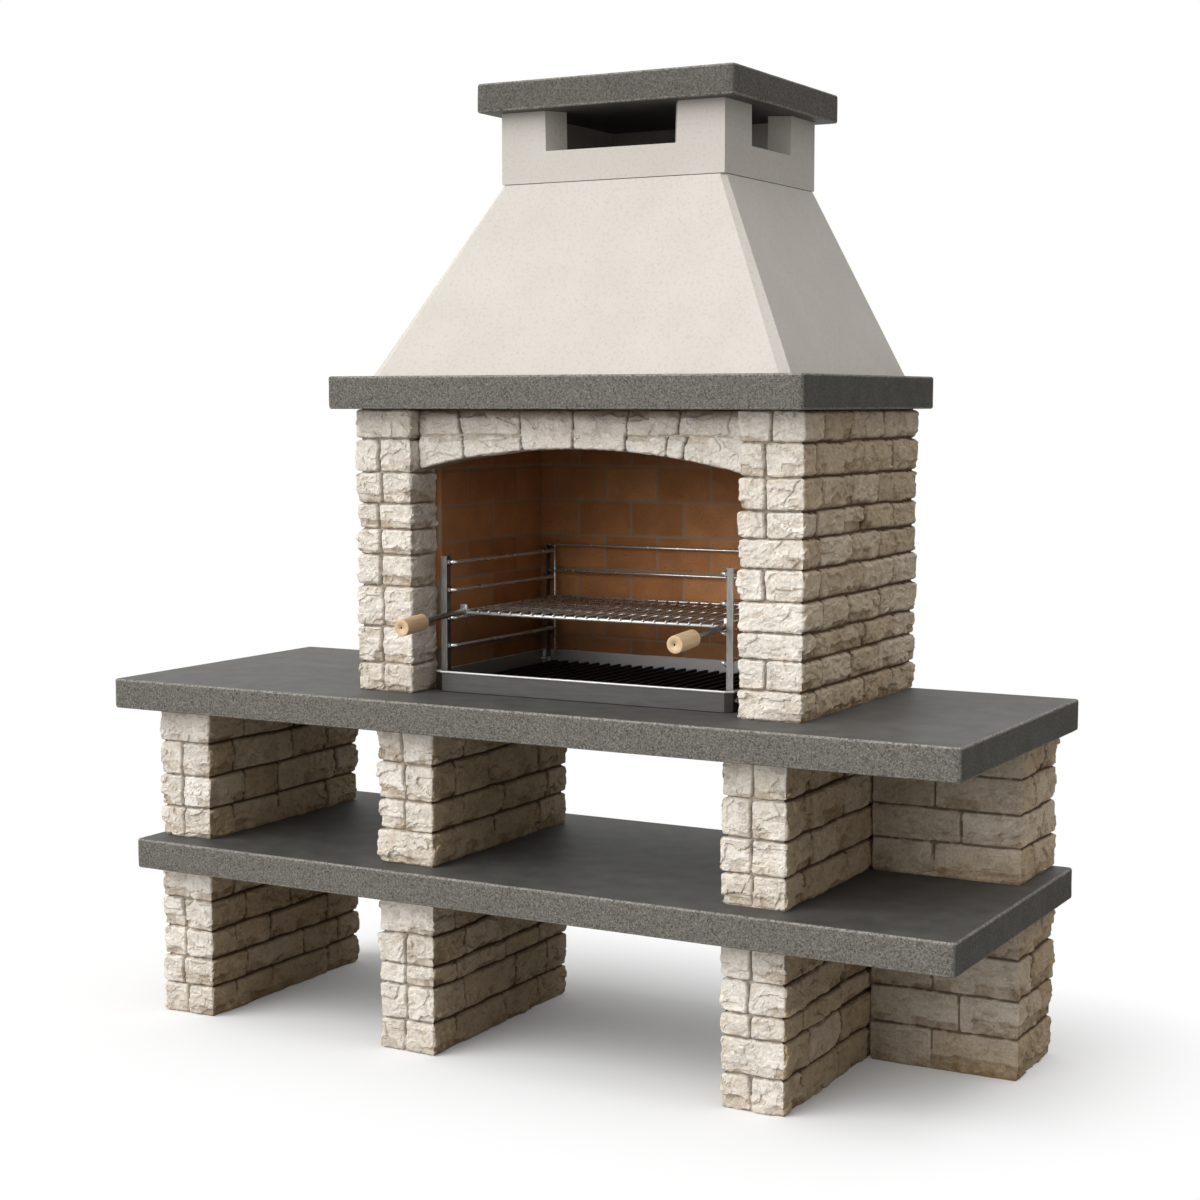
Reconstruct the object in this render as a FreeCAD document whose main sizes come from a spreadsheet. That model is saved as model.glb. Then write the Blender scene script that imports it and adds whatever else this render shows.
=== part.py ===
"""Masonry barbecue: two tiers of stone legs, worktop, arched firebox, hood and chimney,
with a loose steel fire basket, charcoal grate and cooking grid. Millimetres, +Z up, front at -Y.
"""
import os

import FreeCAD
import Part
import Sketcher
from FreeCAD import Placement, Rotation, Vector

SIZES = (
    ("worktop_length", 2000),
    ("worktop_depth", 732),
    ("slab_thick", 66),
    ("slab_edge", 4),
    ("shelf_left_inset", 57),
    ("shelf_right_inset", 6),
    ("lower_wall_height", 343),
    ("upper_wall_height", 294),
    ("leg_thick", 142),
    ("leg_setback", 67),
    ("leg_depth", 568),
    ("left_leg_offset", 74),
    ("middle_leg_offset", 672),
    ("right_leg_offset", 1485),
    ("return_end_inset", 44),
    ("return_thick", 230),
    ("stone_edge", 6),
    ("bed_thick", 6),
    ("bed_recess", 10),
    ("quoin_long", 128),
    ("quoin_short", 90),
    ("firebox_offset", 110),
    ("firebox_width", 1048),
    ("firebox_setback", 122),
    ("firebox_height", 606),
    ("pier_thick", 142),
    ("pier_depth", 100),
    ("back_wall_thick", 55),
    ("brick_thick", 30),
    ("brick_joint", 6),
    ("brick_joint_recess", 2),
    ("lining_proud", 10),
    ("lintel_height", 128),
    ("arch_rise", 46),
    ("arch_cap_height", 54),
    ("lintel_setback", 28),
    ("mantel_overhang", 26),
    ("mantel_front", 66),
    ("mantel_thick", 69),
    ("flue_width", 700),
    ("flue_depth", 380),
    ("hood_inset", 63),
    ("hood_front_inset", 68),
    ("hood_height", 406),
    ("hood_wall", 40),
    ("chimney_width", 527),
    ("chimney_depth", 455),
    ("chimney_height", 151),
    ("chimney_wall", 45),
    ("front_window", 314),
    ("side_window", 200),
    ("window_height", 84),
    ("cap_overhang", 40),
    ("cap_thick", 61),
    ("tray_setback", 59),
    ("tray_left_gap", 8),
    ("tray_right_gap", 26),
    ("tray_back_gap", 2),
    ("tray_height", 45),
    ("tray_sheet", 2),
    ("tray_rim", 4),
    ("upright_size", 15),
    ("upright_sheet", 2),
    ("upright_gap", 1),
    ("upright_front", 14),
    ("upright_above", 13),
    ("rear_bar_width", 15),
    ("rear_bar_sheet", 3),
    ("rear_gap", 2.5),
    ("rail_dia", 8),
    ("rail_inset", 16),
    ("rail_bend", 9),
    ("rail_first", 98),
    ("rail_pitch", 60),
    ("hole_gap", 0.2),
    ("nut_width", 13),
    ("nut_height", 6),
    ("rail_past_nut", 2),
    ("guard_dia", 6),
    ("guard_post_dia", 5),
    ("guard_lift", 14),
    ("guard_post_inset", 17),
    ("bolt_dia", 6),
    ("bolt_head_width", 10),
    ("bolt_head_height", 4),
    ("bolt_nut_height", 5),
    ("bolt_level", 24),
    ("spacer_dia", 10),
    ("grate_gap", 9),
    ("grate_front", 8),
    ("grate_back", 20),
    ("grate_bar_width", 6),
    ("grate_bar_height", 12),
    ("grate_foot_width", 10),
    ("grate_foot_height", 10),
    ("cross_dia", 8),
    ("wire_dia", 5),
    ("slide_gap", 0.3),
    ("weld_sink", 0.4),
    ("grid_overlap", 7),
    ("grid_front", 62),
    ("grid_back_gap", 11),
    ("wire_inset", 9),
    ("wire_over", 3),
    ("handle_dia", 12),
    ("handle_lift", 5),
    ("handle_reach", 160),
    ("handle_dip", 11),
    ("plate_width", 18),
    ("plate_height", 22),
    ("plate_thick", 4),
    ("plate_below", 2.5),
    ("grip_dia", 36),
    ("grip_length", 78),
    ("grip_bore", 57),
    ("grip_round", 2),
    ("screw_dia", 4),
    ("screw_head_dia", 8),
    ("screw_head_height", 2.5),
    ("screw_into_rod", 18),
    ("tap_room", 2),
    ("cut_over", 1),
)

# Course patterns, bottom course first: the relative heights of the courses of each wall
LOWER_LEFT_COURSES = (135, 120, 125, 132, 140)
LOWER_MIDDLE_COURSES = (125, 135, 78, 115, 145)
LOWER_RIGHT_COURSES = (140, 140, 90, 125, 145)
LOWER_RETURN_COURSES = (138, 125, 135, 135)
UPPER_LEFT_COURSES = (120, 125, 125, 130)
UPPER_MIDDLE_COURSES = (132, 115, 140, 130)
UPPER_RIGHT_COURSES = (125, 133, 144, 140)
UPPER_RETURN_COURSES = (130, 120, 125, 125)
FIREBOX_LEFT_COURSES = (142, 173, 190, 147, 123, 120, 147, 153, 135)
FIREBOX_RIGHT_COURSES = (145, 143, 122, 148, 147, 140, 128, 152, 160, 140)
BRICK_COURSES = (79, 79, 79, 79, 79, 79, 79, 53)
SIDE_BRICKS = 2
BACK_BRICKS = 6
ARCH_STONES = (12, 14, 12, 12, 9, 4, 14)
ARCH_STONES_WITH_CAP = (0, 1, 4, 5, 6)
ARCH_CAPS = ((0, 12), (12, 14), (50, 11), (61, 16))

RAIL_LEVELS = range(4)
GRID_LEVEL = 1
GUARD_LEVELS = (1, 2, 3)
SIDES = (("left", -1), ("right", 1))
CROSS_RODS = 4
GRID_WIRES = 24
GRATE_BARS = 23
GRATE_FEET = 3

ALONG = {
    "x": Rotation(Vector(0, 1, 0), 90),
    "y": Rotation(Vector(1, 0, 0), -90),
    "z": Rotation(),
}

doc = FreeCAD.newDocument("masonry_barbecue")
dims = doc.addObject("Spreadsheet::Sheet", "dims")
for row, (word, number) in enumerate(SIZES, start=1):
    dims.set(f"A{row}", word)
    dims.set(f"B{row}", str(number))
    dims.setAlias(f"B{row}", word)
doc.recompute()

nodes = []


def value(formula):
    """The number that a formula on the sheet gives."""
    return float(dims.evalExpression(formula))


def bind(thing, formulas):
    """Binds properties to formulas on the sheet."""
    for name, formula in formulas.items():
        thing.setExpression(name, formula)
    return thing


def place(thing, corner, turn=None):
    """Turns a piece, then binds where its own origin stands."""
    thing.Placement = Placement(Vector(), turn or Rotation())
    words = ("Placement.Base.x", "Placement.Base.y", "Placement.Base.z")
    return bind(thing, dict(zip(words, corner)))


def node(thing, label):
    """Marks a finished sub-part, whose label names its file."""
    thing.Label = label
    nodes.append(thing)
    return thing


def box(name, corner, size):
    """A block from its lowest corner."""
    thing = doc.addObject("Part::Box", name)
    bind(thing, dict(zip(("Length", "Width", "Height"), size)))
    return place(thing, corner)


def rod(name, start, length, radius, axis):
    """A round bar from the middle of one end along an axis."""
    thing = doc.addObject("Part::Cylinder", name)
    bind(thing, {"Height": length, "Radius": radius})
    return place(thing, start, ALONG[axis])


def hexagon(name, start, length, width):
    """A hexagon bar along X, given its width across the flats."""
    thing = doc.addObject("Part::Prism", name)
    thing.Polygon = 6
    bind(thing, {"Height": length, "Circumradius": f"{width} / sqrt(3)"})
    return place(thing, start, ALONG["x"])


def cut(name, base, tool):
    thing = doc.addObject("Part::Cut", name)
    thing.Base = base
    thing.Tool = tool
    return thing


def fuse(name, things):
    thing = doc.addObject("Part::MultiFuse", name)
    thing.Shapes = things
    thing.Refine = True
    return thing


def group(name, things):
    thing = doc.addObject("Part::Compound", name)
    thing.Links = things
    return thing


def bevelled(name, block):
    """Takes the sharp edges off a block, all twelve alike."""
    thing = doc.addObject("Part::Chamfer", name)
    thing.Base = block
    edge = value("dims.stone_edge")
    thing.Edges = [(number, edge, edge) for number in range(1, 13)]
    return thing


def body(label, corner, turn=None):
    thing = doc.addObject("PartDesign::Body", label)
    return node(place(thing, corner, turn), label)


def sketch_on(owner, name, role, lift="0"):
    """A sketch on one of the body's own planes, lifted off it."""
    sketch = owner.newObject("Sketcher::SketchObject", name)
    plane = next(each for each in owner.Origin.OriginFeatures if each.Role == role)
    sketch.AttachmentSupport = [(plane, "")]
    sketch.MapMode = "FlatFace"
    return bind(sketch, {"AttachmentOffset.Base.z": lift})


def rectangle(sketch, label, left, low, width, height):
    """Adds a rectangle to a sketch, with its corner and sides bound to formulas."""
    first = sketch.GeometryCount
    x, y = value(left), value(low)
    wide, high = value(width), value(height)
    corners = [Vector(x, y), Vector(x + wide, y), Vector(x + wide, y + high), Vector(x, y + high)]
    for turn in range(4):
        sketch.addGeometry(Part.LineSegment(corners[turn], corners[(turn + 1) % 4]), False)
    for turn in range(4):
        after = first + (turn + 1) % 4
        sketch.addConstraint(Sketcher.Constraint("Coincident", first + turn, 2, after, 1))
    for side, kind in enumerate(("Horizontal", "Vertical", "Horizontal", "Vertical")):
        sketch.addConstraint(Sketcher.Constraint(kind, first + side))
    measures = (
        ("left", "DistanceX", (-1, 1, first, 1), left),
        ("low", "DistanceY", (-1, 1, first, 1), low),
        ("width", "DistanceX", (first, 1, first, 2), width),
        ("height", "DistanceY", (first + 1, 1, first + 1, 2), height),
    )
    for word, kind, points, formula in measures:
        number = sketch.addConstraint(Sketcher.Constraint(kind, *points, value(formula)))
        sketch.renameConstraint(number, f"{label}_{word}")
        sketch.setExpression(f"Constraints.{label}_{word}", formula)
    return sketch


def circle(sketch, radius):
    """Adds a circle round the sketch's own origin."""
    sketch.addGeometry(Part.Circle(Vector(), Vector(0, 0, 1), value(radius)), False)
    sketch.addConstraint(Sketcher.Constraint("Coincident", 0, 3, -1, 1))
    number = sketch.addConstraint(Sketcher.Constraint("Radius", 0, value(radius)))
    sketch.renameConstraint(number, "radius")
    sketch.setExpression("Constraints.radius", radius)
    return sketch


def pad(owner, name, sketch, length):
    feature = owner.newObject("PartDesign::Pad", name)
    feature.Profile = sketch
    sketch.Visibility = False
    return bind(feature, {"Length": length})


def pocket(owner, name, sketch, length, back=False):
    feature = owner.newObject("PartDesign::Pocket", name)
    feature.Profile = sketch
    feature.Reversed = back
    return bind(feature, {"Length": length})


def repeat(owner, name, feature, role, length, count):
    """Repeats a feature in a row along one of the body's own axes."""
    pattern = owner.newObject("PartDesign::LinearPattern", name)
    axis = next(each for each in owner.Origin.OriginFeatures if each.Role == role)
    pattern.Originals = [feature]
    pattern.Direction = (axis, [""])
    pattern.Occurrences = count
    bind(pattern, {"Length": length})
    owner.Tip = pattern
    return pattern


def soften(owner, name, base, size):
    """Bevels every edge of a cast slab."""
    feature = owner.newObject("PartDesign::Chamfer", name)
    feature.Base = (base, [""])
    feature.UseAllEdges = True
    return bind(feature, {"Size": size})


# Levels and lines that several pieces share
front = "(-0.5 * (dims.worktop_depth + dims.mantel_overhang + dims.cap_overhang))"
left_end = "(-0.5 * dims.worktop_length)"
upper_z = "(dims.lower_wall_height + dims.slab_thick)"
worktop_z = f"({upper_z} + dims.upper_wall_height)"
hearth_z = f"({worktop_z} + dims.slab_thick)"
mantel_z = f"({hearth_z} + dims.firebox_height)"
hood_z = f"({mantel_z} + dims.mantel_thick)"
chimney_z = f"({hood_z} + dims.hood_height)"
cap_z = f"({chimney_z} + dims.chimney_height)"
back = f"({front} + dims.worktop_depth)"

# Stone walls: courses of bevelled blocks with a recessed mortar bed on top of each course


def lay_course(name, corner, size, run, stones):
    """One course of stones end to end along the run, given each stone's start and length."""
    blocks = []
    for number, (start, length) in enumerate(stones):
        here = list(corner)
        block_size = list(size)
        here[run] = f"{corner[run]} + {start}"
        block_size[run] = length
        block = box(f"{name}_block_{number}", here, block_size)
        blocks.append(bevelled(f"{name}_stone_{number}", block))
    return blocks


def lay_bed(name, corner, size):
    """The mortar bed on a course, set back from the faces of the wall."""
    inner = [f"{corner[0]} + dims.bed_recess", f"{corner[1]} + dims.bed_recess", corner[2]]
    plan = [f"{size[0]} - 2 * dims.bed_recess", f"{size[1]} - 2 * dims.bed_recess", "dims.bed_thick"]
    return box(name, inner, plan)


def quoined(length, course):
    """A short and a long end stone, changing ends at each course, and a stretcher between."""
    ends = ("dims.quoin_long", "dims.quoin_short")
    first, last = ends[course % 2], ends[(course + 1) % 2]
    middle = f"({length} - dims.quoin_long - dims.quoin_short)"
    return [("0", first), (first, middle), (f"({length} - {last})", last)]


def halved(length, course):
    """Two stones, with the joint changing place at each course."""
    share = (0.42, 0.6)[course % 2]
    return [("0", f"{length} * {share}"), (f"{length} * {share}", f"{length} * {1 - share:.2f}")]


def course_levels(bottom, height, courses):
    """Each course's foot, its stone height and the level of the bed on it."""
    total = sum(courses)
    levels = []
    below = 0
    for share in courses:
        foot = f"({bottom} + {height} * {below} / {total})"
        stone = f"({height} * {share} / {total} - dims.bed_thick)"
        levels.append((foot, stone, f"({foot} + {stone})"))
        below += share
    return levels


def lay_wall(label, corner, size, run, courses, bond, beds, whole_foot=False):
    """A wall of courses between a lowest corner and a size; its beds join the tier's mortar."""
    stones = []
    for course, (foot, stone, bed) in enumerate(course_levels(corner[2], size[2], courses)):
        pattern = bond(size[run], course)
        if whole_foot and course == 0:
            pattern = [("0", size[run])]
        here = (corner[0], corner[1], foot)
        stones += lay_course(f"{label}_{course}", here, (size[0], size[1], stone), run, pattern)
        beds.append(lay_bed(f"{label}_bed_{course}", (corner[0], corner[1], bed), size))
    return node(group(f"{label}_group", stones), label)


leg_lines = {
    "left": f"({left_end} + dims.left_leg_offset)",
    "middle": f"({left_end} + dims.middle_leg_offset)",
    "right": f"({left_end} + dims.right_leg_offset)",
}
return_corner = (f"({leg_lines['right']} + dims.leg_thick)", f"({back} - dims.return_thick)")
return_length = (
    "(dims.worktop_length - dims.right_leg_offset - dims.leg_thick - dims.return_end_inset)"
)


def lay_tier(tier, bottom, height, leg_courses, return_courses, whole_foot):
    """Three legs and the return wall of one tier, and the mortar between their courses."""
    beds = []
    for side, courses in leg_courses.items():
        corner = (leg_lines[side], f"({front} + dims.leg_setback)", bottom)
        size = ("dims.leg_thick", "dims.leg_depth", height)
        lay_wall(f"{tier}_{side}_leg", corner, size, 1, courses, quoined, beds, whole_foot)
    size = (return_length, "dims.return_thick", height)
    corner = (*return_corner, bottom)
    lay_wall(f"{tier}_return_wall", corner, size, 0, return_courses, halved, beds, whole_foot)
    node(group(f"{tier}_beds", beds), f"{tier}_tier_mortar")


lower_legs = {
    "left": LOWER_LEFT_COURSES,
    "middle": LOWER_MIDDLE_COURSES,
    "right": LOWER_RIGHT_COURSES,
}
upper_legs = {
    "left": UPPER_LEFT_COURSES,
    "middle": UPPER_MIDDLE_COURSES,
    "right": UPPER_RIGHT_COURSES,
}
lay_tier("lower", "0", "dims.lower_wall_height", lower_legs, LOWER_RETURN_COURSES, True)
lay_tier("upper", upper_z, "dims.upper_wall_height", upper_legs, UPPER_RETURN_COURSES, False)

# Cast slabs


def cast_slab(label, corner, size):
    """A cast concrete slab with small bevelled edges."""
    owner = body(label, corner)
    plan = rectangle(sketch_on(owner, f"{label}_plan", "XY_Plane"), "plan", "0", "0", size[0], size[1])
    block = pad(owner, f"{label}_block", plan, size[2])
    soften(owner, f"{label}_edge", block, "dims.slab_edge")
    return owner


cast_slab(
    "shelf_slab",
    (f"{left_end} + dims.shelf_left_inset", front, "dims.lower_wall_height"),
    (
        "dims.worktop_length - dims.shelf_left_inset - dims.shelf_right_inset",
        "dims.worktop_depth",
        "dims.slab_thick",
    ),
)
cast_slab(
    "worktop_slab",
    (left_end, front, worktop_z),
    ("dims.worktop_length", "dims.worktop_depth", "dims.slab_thick"),
)

# Firebox walls: a wide front pier stone in each course, a thinner side wall behind it, the back wall between
firebox_left = "(dims.firebox_offset - dims.firebox_width / 2)"
firebox_right = "(dims.firebox_offset + dims.firebox_width / 2)"
firebox_front = f"({front} + dims.firebox_setback)"
wall_thick = "(dims.pier_thick - dims.brick_thick + dims.lining_proud)"
wall_length = "(dims.worktop_depth - dims.firebox_setback - dims.pier_depth)"
wall_front = f"({firebox_front} + dims.pier_depth)"
firebox_beds = []


def lay_firebox_side(label, pier_x, wall_x, courses):
    """One side of the firebox, with its pier stones at the front."""
    stones = []
    for course, (foot, stone, bed) in enumerate(course_levels(hearth_z, "dims.firebox_height", courses)):
        name = f"{label}_{course}"
        pier = (pier_x, firebox_front, foot)
        pier_plan = ("dims.pier_thick", "dims.pier_depth", stone)
        stones += lay_course(f"{name}_pier", pier, pier_plan, 1, [("0", "dims.pier_depth")])
        wall = (wall_x, wall_front, foot)
        wall_plan = (wall_thick, wall_length, stone)
        stones += lay_course(f"{name}_wall", wall, wall_plan, 1, halved(wall_length, course))
        firebox_beds.append(lay_bed(f"{name}_pier_bed", (pier_x, firebox_front, bed), pier_plan))
        firebox_beds.append(lay_bed(f"{name}_wall_bed", (wall_x, wall_front, bed), wall_plan))
    return node(group(f"{label}_group", stones), label)


lay_firebox_side("firebox_left_wall", firebox_left, firebox_left, FIREBOX_LEFT_COURSES)
lay_firebox_side(
    "firebox_right_wall",
    f"({firebox_right} - dims.pier_thick)",
    f"({firebox_right} - {wall_thick})",
    FIREBOX_RIGHT_COURSES,
)
inner_left = f"({firebox_left} + {wall_thick})"
inner_width = f"(dims.firebox_width - 2 * {wall_thick})"
lay_wall(
    "firebox_back_wall",
    (inner_left, f"({back} - dims.back_wall_thick)", hearth_z),
    (inner_width, "dims.back_wall_thick", "dims.firebox_height"),
    0,
    FIREBOX_RIGHT_COURSES,
    quoined,
    firebox_beds,
)
node(group("firebox_beds", firebox_beds), "firebox_mortar")

# Arch lintel: arch stones between the piers, cut to an arc, with a course of cap stones over the outer ones
span = "(dims.firebox_width - 2 * dims.pier_thick)"
arch_left = f"({firebox_left} + dims.pier_thick)"
arch_front = f"({firebox_front} + dims.lintel_setback)"
arch_depth = "(dims.pier_depth - dims.lintel_setback)"
arch_z = f"({mantel_z} - dims.lintel_height)"
arch_radius = f"(({span} * {span} / 4 + dims.arch_rise * dims.arch_rise) / (2 * dims.arch_rise))"
arch_round = rod(
    "arch_round",
    (
        "dims.firebox_offset",
        f"{arch_front} - dims.cut_over",
        f"{arch_z} + dims.arch_rise - {arch_radius}",
    ),
    f"{arch_depth} + 2 * dims.cut_over",
    arch_radius,
    "y",
)
arch_stones = []
below_cap = "(dims.lintel_height - dims.arch_cap_height)"
passed = 0
for number, share in enumerate(ARCH_STONES):
    stone_x = f"({arch_left} + {span} * {passed} / {sum(ARCH_STONES)})"
    stone_wide = f"({span} * {share} / {sum(ARCH_STONES)})"
    passed += share
    stone_high = below_cap if number in ARCH_STONES_WITH_CAP else "dims.lintel_height"
    block = box(f"arch_block_{number}", (stone_x, arch_front, arch_z), (stone_wide, arch_depth, stone_high))
    arch_stones.append(cut(f"arch_stone_{number}", block, arch_round))
for number, (start, share) in enumerate(ARCH_CAPS):
    cap_x = f"({arch_left} + {span} * {start} / {sum(ARCH_STONES)})"
    cap_wide = f"({span} * {share} / {sum(ARCH_STONES)})"
    cap_corner = (cap_x, arch_front, f"({arch_z} + {below_cap})")
    arch_stones.append(box(f"arch_cap_{number}", cap_corner, (cap_wide, arch_depth, "dims.arch_cap_height")))
node(group("arch_group", arch_stones), "arch_lintel")

# Firebrick lining: three panels of bricks in running bond, with refractory mortar in the joints
lining_face = f"({back} - dims.back_wall_thick - dims.brick_thick)"
side_run = f"({lining_face} - {wall_front})"


def lay_bricks(label, corner, run_length, run, count):
    """A panel of bricks and, returned, the mortar lattice round them."""
    across = 1 - run
    bricks = []
    total = sum(BRICK_COURSES)
    below = 0
    for course, share in enumerate(BRICK_COURSES):
        foot = f"({corner[2]} + dims.firebox_height * {below} / {total} + dims.brick_joint / 2)"
        high = f"(dims.firebox_height * {share} / {total} - dims.brick_joint)"
        below += share
        cuts = [step / count for step in range(count + 1)]
        if course % 2:
            cuts = [0] + [(step + 0.5) / count for step in range(count)] + [1]
        for number, (start, end) in enumerate(zip(cuts, cuts[1:])):
            here = [corner[0], corner[1], foot]
            size = ["dims.brick_thick", "dims.brick_thick", high]
            here[run] = f"({corner[run]} + {run_length} * {start:.4f} + dims.brick_joint / 2)"
            size[run] = f"({run_length} * {end - start:.4f} - dims.brick_joint)"
            bricks.append(box(f"{label}_{course}_{number}", here, size))
    panel = node(group(f"{label}_group", bricks), label)
    here = list(corner)
    size = ["dims.brick_thick - dims.brick_joint_recess"] * 2 + ["dims.firebox_height"]
    size[run] = run_length
    if label != "firebrick_left":
        here[across] = f"({corner[across]} + dims.brick_joint_recess)"
    return cut(f"{label}_mortar", box(f"{label}_sheet", here, size), panel)


inner_right = f"({firebox_right} - {wall_thick})"
right_lining = f"({inner_right} - dims.brick_thick)"
lattices = [
    lay_bricks("firebrick_left", (inner_left, wall_front, hearth_z), side_run, 1, SIDE_BRICKS),
    lay_bricks("firebrick_right", (right_lining, wall_front, hearth_z), side_run, 1, SIDE_BRICKS),
    lay_bricks("firebrick_back", (inner_left, lining_face, hearth_z), inner_width, 0, BACK_BRICKS),
]
node(group("lattices", lattices), "refractory_mortar")

# Mantel slab with the smoke opening
mantel_x = f"({firebox_left} - dims.mantel_overhang)"
mantel_y = f"({firebox_front} - dims.mantel_front)"
mantel_width = "(dims.firebox_width + 2 * dims.mantel_overhang)"
mantel_depth = "(dims.worktop_depth - dims.firebox_setback + dims.mantel_front + dims.mantel_overhang)"
mantel = body("mantel_slab", (mantel_x, mantel_y, mantel_z))
mantel_plan = sketch_on(mantel, "mantel_plan", "XY_Plane")
rectangle(mantel_plan, "plan", "0", "0", mantel_width, mantel_depth)
rectangle(
    mantel_plan,
    "flue",
    f"({mantel_width} - dims.flue_width) / 2",
    f"({mantel_depth} - dims.mantel_overhang - dims.back_wall_thick - dims.brick_thick - dims.flue_depth)",
    "dims.flue_width",
    "dims.flue_depth",
)
mantel_block = pad(mantel, "mantel_block", mantel_plan, "dims.mantel_thick")
soften(mantel, "mantel_edge", mantel_block, "dims.slab_edge")

# Hood: a hollow tapering shell with an upright back, made as an outer wedge less an inner one
hood_back = f"({back} + dims.mantel_overhang)"
hood_width = f"({mantel_width} - 2 * dims.hood_inset)"
hood_depth = f"({mantel_depth} - dims.hood_front_inset)"


def wedge(name, wall_foot, wall_top, lift):
    """A tapering block standing on its wide end, inset by a wall; its own Y axis points up."""
    thing = doc.addObject("Part::Wedge", name)
    formulas = {
        "Xmin": f"-{hood_width} / 2 + {wall_foot}",
        "Xmax": f"{hood_width} / 2 - {wall_foot}",
        "Zmin": wall_foot,
        "Zmax": f"{hood_depth} - {wall_foot}",
        "X2min": f"-dims.chimney_width / 2 + {wall_top}",
        "X2max": f"dims.chimney_width / 2 - {wall_top}",
        "Z2min": wall_top,
        "Z2max": f"dims.chimney_depth - {wall_top}",
        "Ymin": f"-{lift}",
        "Ymax": f"dims.hood_height + {lift}",
    }
    bind(thing, formulas)
    return place(thing, ("dims.firebox_offset", hood_back, hood_z), Rotation(Vector(1, 0, 0), 90))


hood_outer = wedge("hood_outer", "0", "0", "0")
hood_inner = wedge("hood_inner", "dims.hood_wall", "dims.chimney_wall", "dims.cut_over / 10")
node(cut("hood_shell", hood_outer, hood_inner), "hood")

# Chimney: a hollow block with smoke notches in its front and right side, under the cap
chimney_x = "(dims.firebox_offset - dims.chimney_width / 2)"
chimney_y = f"({hood_back} - dims.chimney_depth)"
chimney = body("chimney", (chimney_x, chimney_y, chimney_z))
chimney_plan = sketch_on(chimney, "chimney_plan", "XY_Plane")
rectangle(chimney_plan, "plan", "0", "0", "dims.chimney_width", "dims.chimney_depth")
rectangle(
    chimney_plan,
    "flue",
    "dims.chimney_wall",
    "dims.chimney_wall",
    "dims.chimney_width - 2 * dims.chimney_wall",
    "dims.chimney_depth - 2 * dims.chimney_wall",
)
pad(chimney, "chimney_block", chimney_plan, "dims.chimney_height")
sill = "dims.chimney_height - dims.window_height"
front_notch = sketch_on(chimney, "front_notch", "XZ_Plane")
side_x = "(dims.chimney_width - dims.front_window) / 2"
rectangle(front_notch, "notch", side_x, sill, "dims.front_window", "dims.window_height")
pocket(chimney, "front_opening", front_notch, "dims.chimney_wall")
side_notch = sketch_on(chimney, "side_notch", "YZ_Plane", "dims.chimney_width")
side_y = "(dims.chimney_depth - dims.side_window) / 2"
rectangle(side_notch, "notch", side_y, sill, "dims.side_window", "dims.window_height")
pocket(chimney, "side_opening", side_notch, "dims.chimney_wall")

cast_slab(
    "chimney_cap",
    (f"({chimney_x} - dims.cap_overhang)", f"({chimney_y} - dims.cap_overhang)", cap_z),
    (
        "dims.chimney_width + 2 * dims.cap_overhang",
        "dims.chimney_depth + 2 * dims.cap_overhang",
        "dims.cap_thick",
    ),
)

# Fire tray: folded sheet with a rim, loose on the worktop, as wide and deep as the lining leaves room for
kit_x = "(dims.firebox_offset + (dims.tray_left_gap - dims.tray_right_gap) / 2)"
clear_width = "(dims.firebox_width - 2 * dims.pier_thick - 2 * dims.lining_proud)"
tray_width = f"({clear_width} - dims.tray_left_gap - dims.tray_right_gap - 2 * dims.tray_rim)"
tray_y = f"({firebox_front} + dims.tray_setback)"
tray_depth = (
    "(dims.worktop_depth - dims.firebox_setback - dims.tray_setback - dims.back_wall_thick"
    " - dims.brick_thick - dims.tray_back_gap - dims.tray_rim)"
)
tray_left = f"({kit_x} - {tray_width} / 2)"
tray_floor = f"({hearth_z} + dims.tray_sheet)"
tray = body("fire_tray", (tray_left, tray_y, hearth_z))
tray_plan = rectangle(
    sketch_on(tray, "tray_plan", "XY_Plane"), "plan", "0", "0", tray_width, tray_depth
)
pad(tray, "tray_block", tray_plan, "dims.tray_height")
tray_rim = rectangle(
    sketch_on(tray, "tray_rim_plan", "XY_Plane", "dims.tray_height - dims.tray_rim"),
    "rim",
    "-dims.tray_rim",
    "-dims.tray_rim",
    f"{tray_width} + 2 * dims.tray_rim",
    f"{tray_depth} + 2 * dims.tray_rim",
)
pad(tray, "tray_rim_block", tray_rim, "dims.tray_rim")
tray_inside = rectangle(
    sketch_on(tray, "tray_inside", "XY_Plane", "dims.tray_height"),
    "inside",
    "dims.tray_sheet",
    "dims.tray_sheet",
    f"{tray_width} - 2 * dims.tray_sheet",
    f"{tray_depth} - 2 * dims.tray_sheet",
)
pocket(tray, "tray_hollow", tray_inside, "dims.tray_height - dims.tray_sheet")

# Uprights: folded angles at the front and flat bars at the rear, standing on the tray floor
flange = f"({tray_width} / 2 - dims.tray_sheet - dims.upright_gap - dims.upright_size)"
upright_y = f"({tray_y} + dims.tray_sheet + dims.upright_front)"
rear_y = (
    f"({tray_y} + {tray_depth} - dims.tray_sheet - dims.rear_gap - dims.rear_bar_width)"
)
front_leg_y = f"({upright_y} + (dims.upright_size + dims.upright_sheet) / 2)"
rear_leg_y = f"({rear_y} + dims.rear_bar_width / 2)"
top_level = max(RAIL_LEVELS)
upright_high = (
    f"(dims.rail_first + {top_level} * dims.rail_pitch + dims.upright_above - dims.tray_sheet)"
)
bolt_z = f"({hearth_z} + dims.bolt_level)"


def rail_level(number):
    return f"({hearth_z} + dims.rail_first + {number} * dims.rail_pitch)"


def at_side(sign, distance, width="0"):
    """The lower X of a piece of some width whose near face is that far from the middle of the kit."""
    if sign > 0:
        return f"({kit_x} + {distance})"
    return f"({kit_x} - {distance} - {width})"


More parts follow.
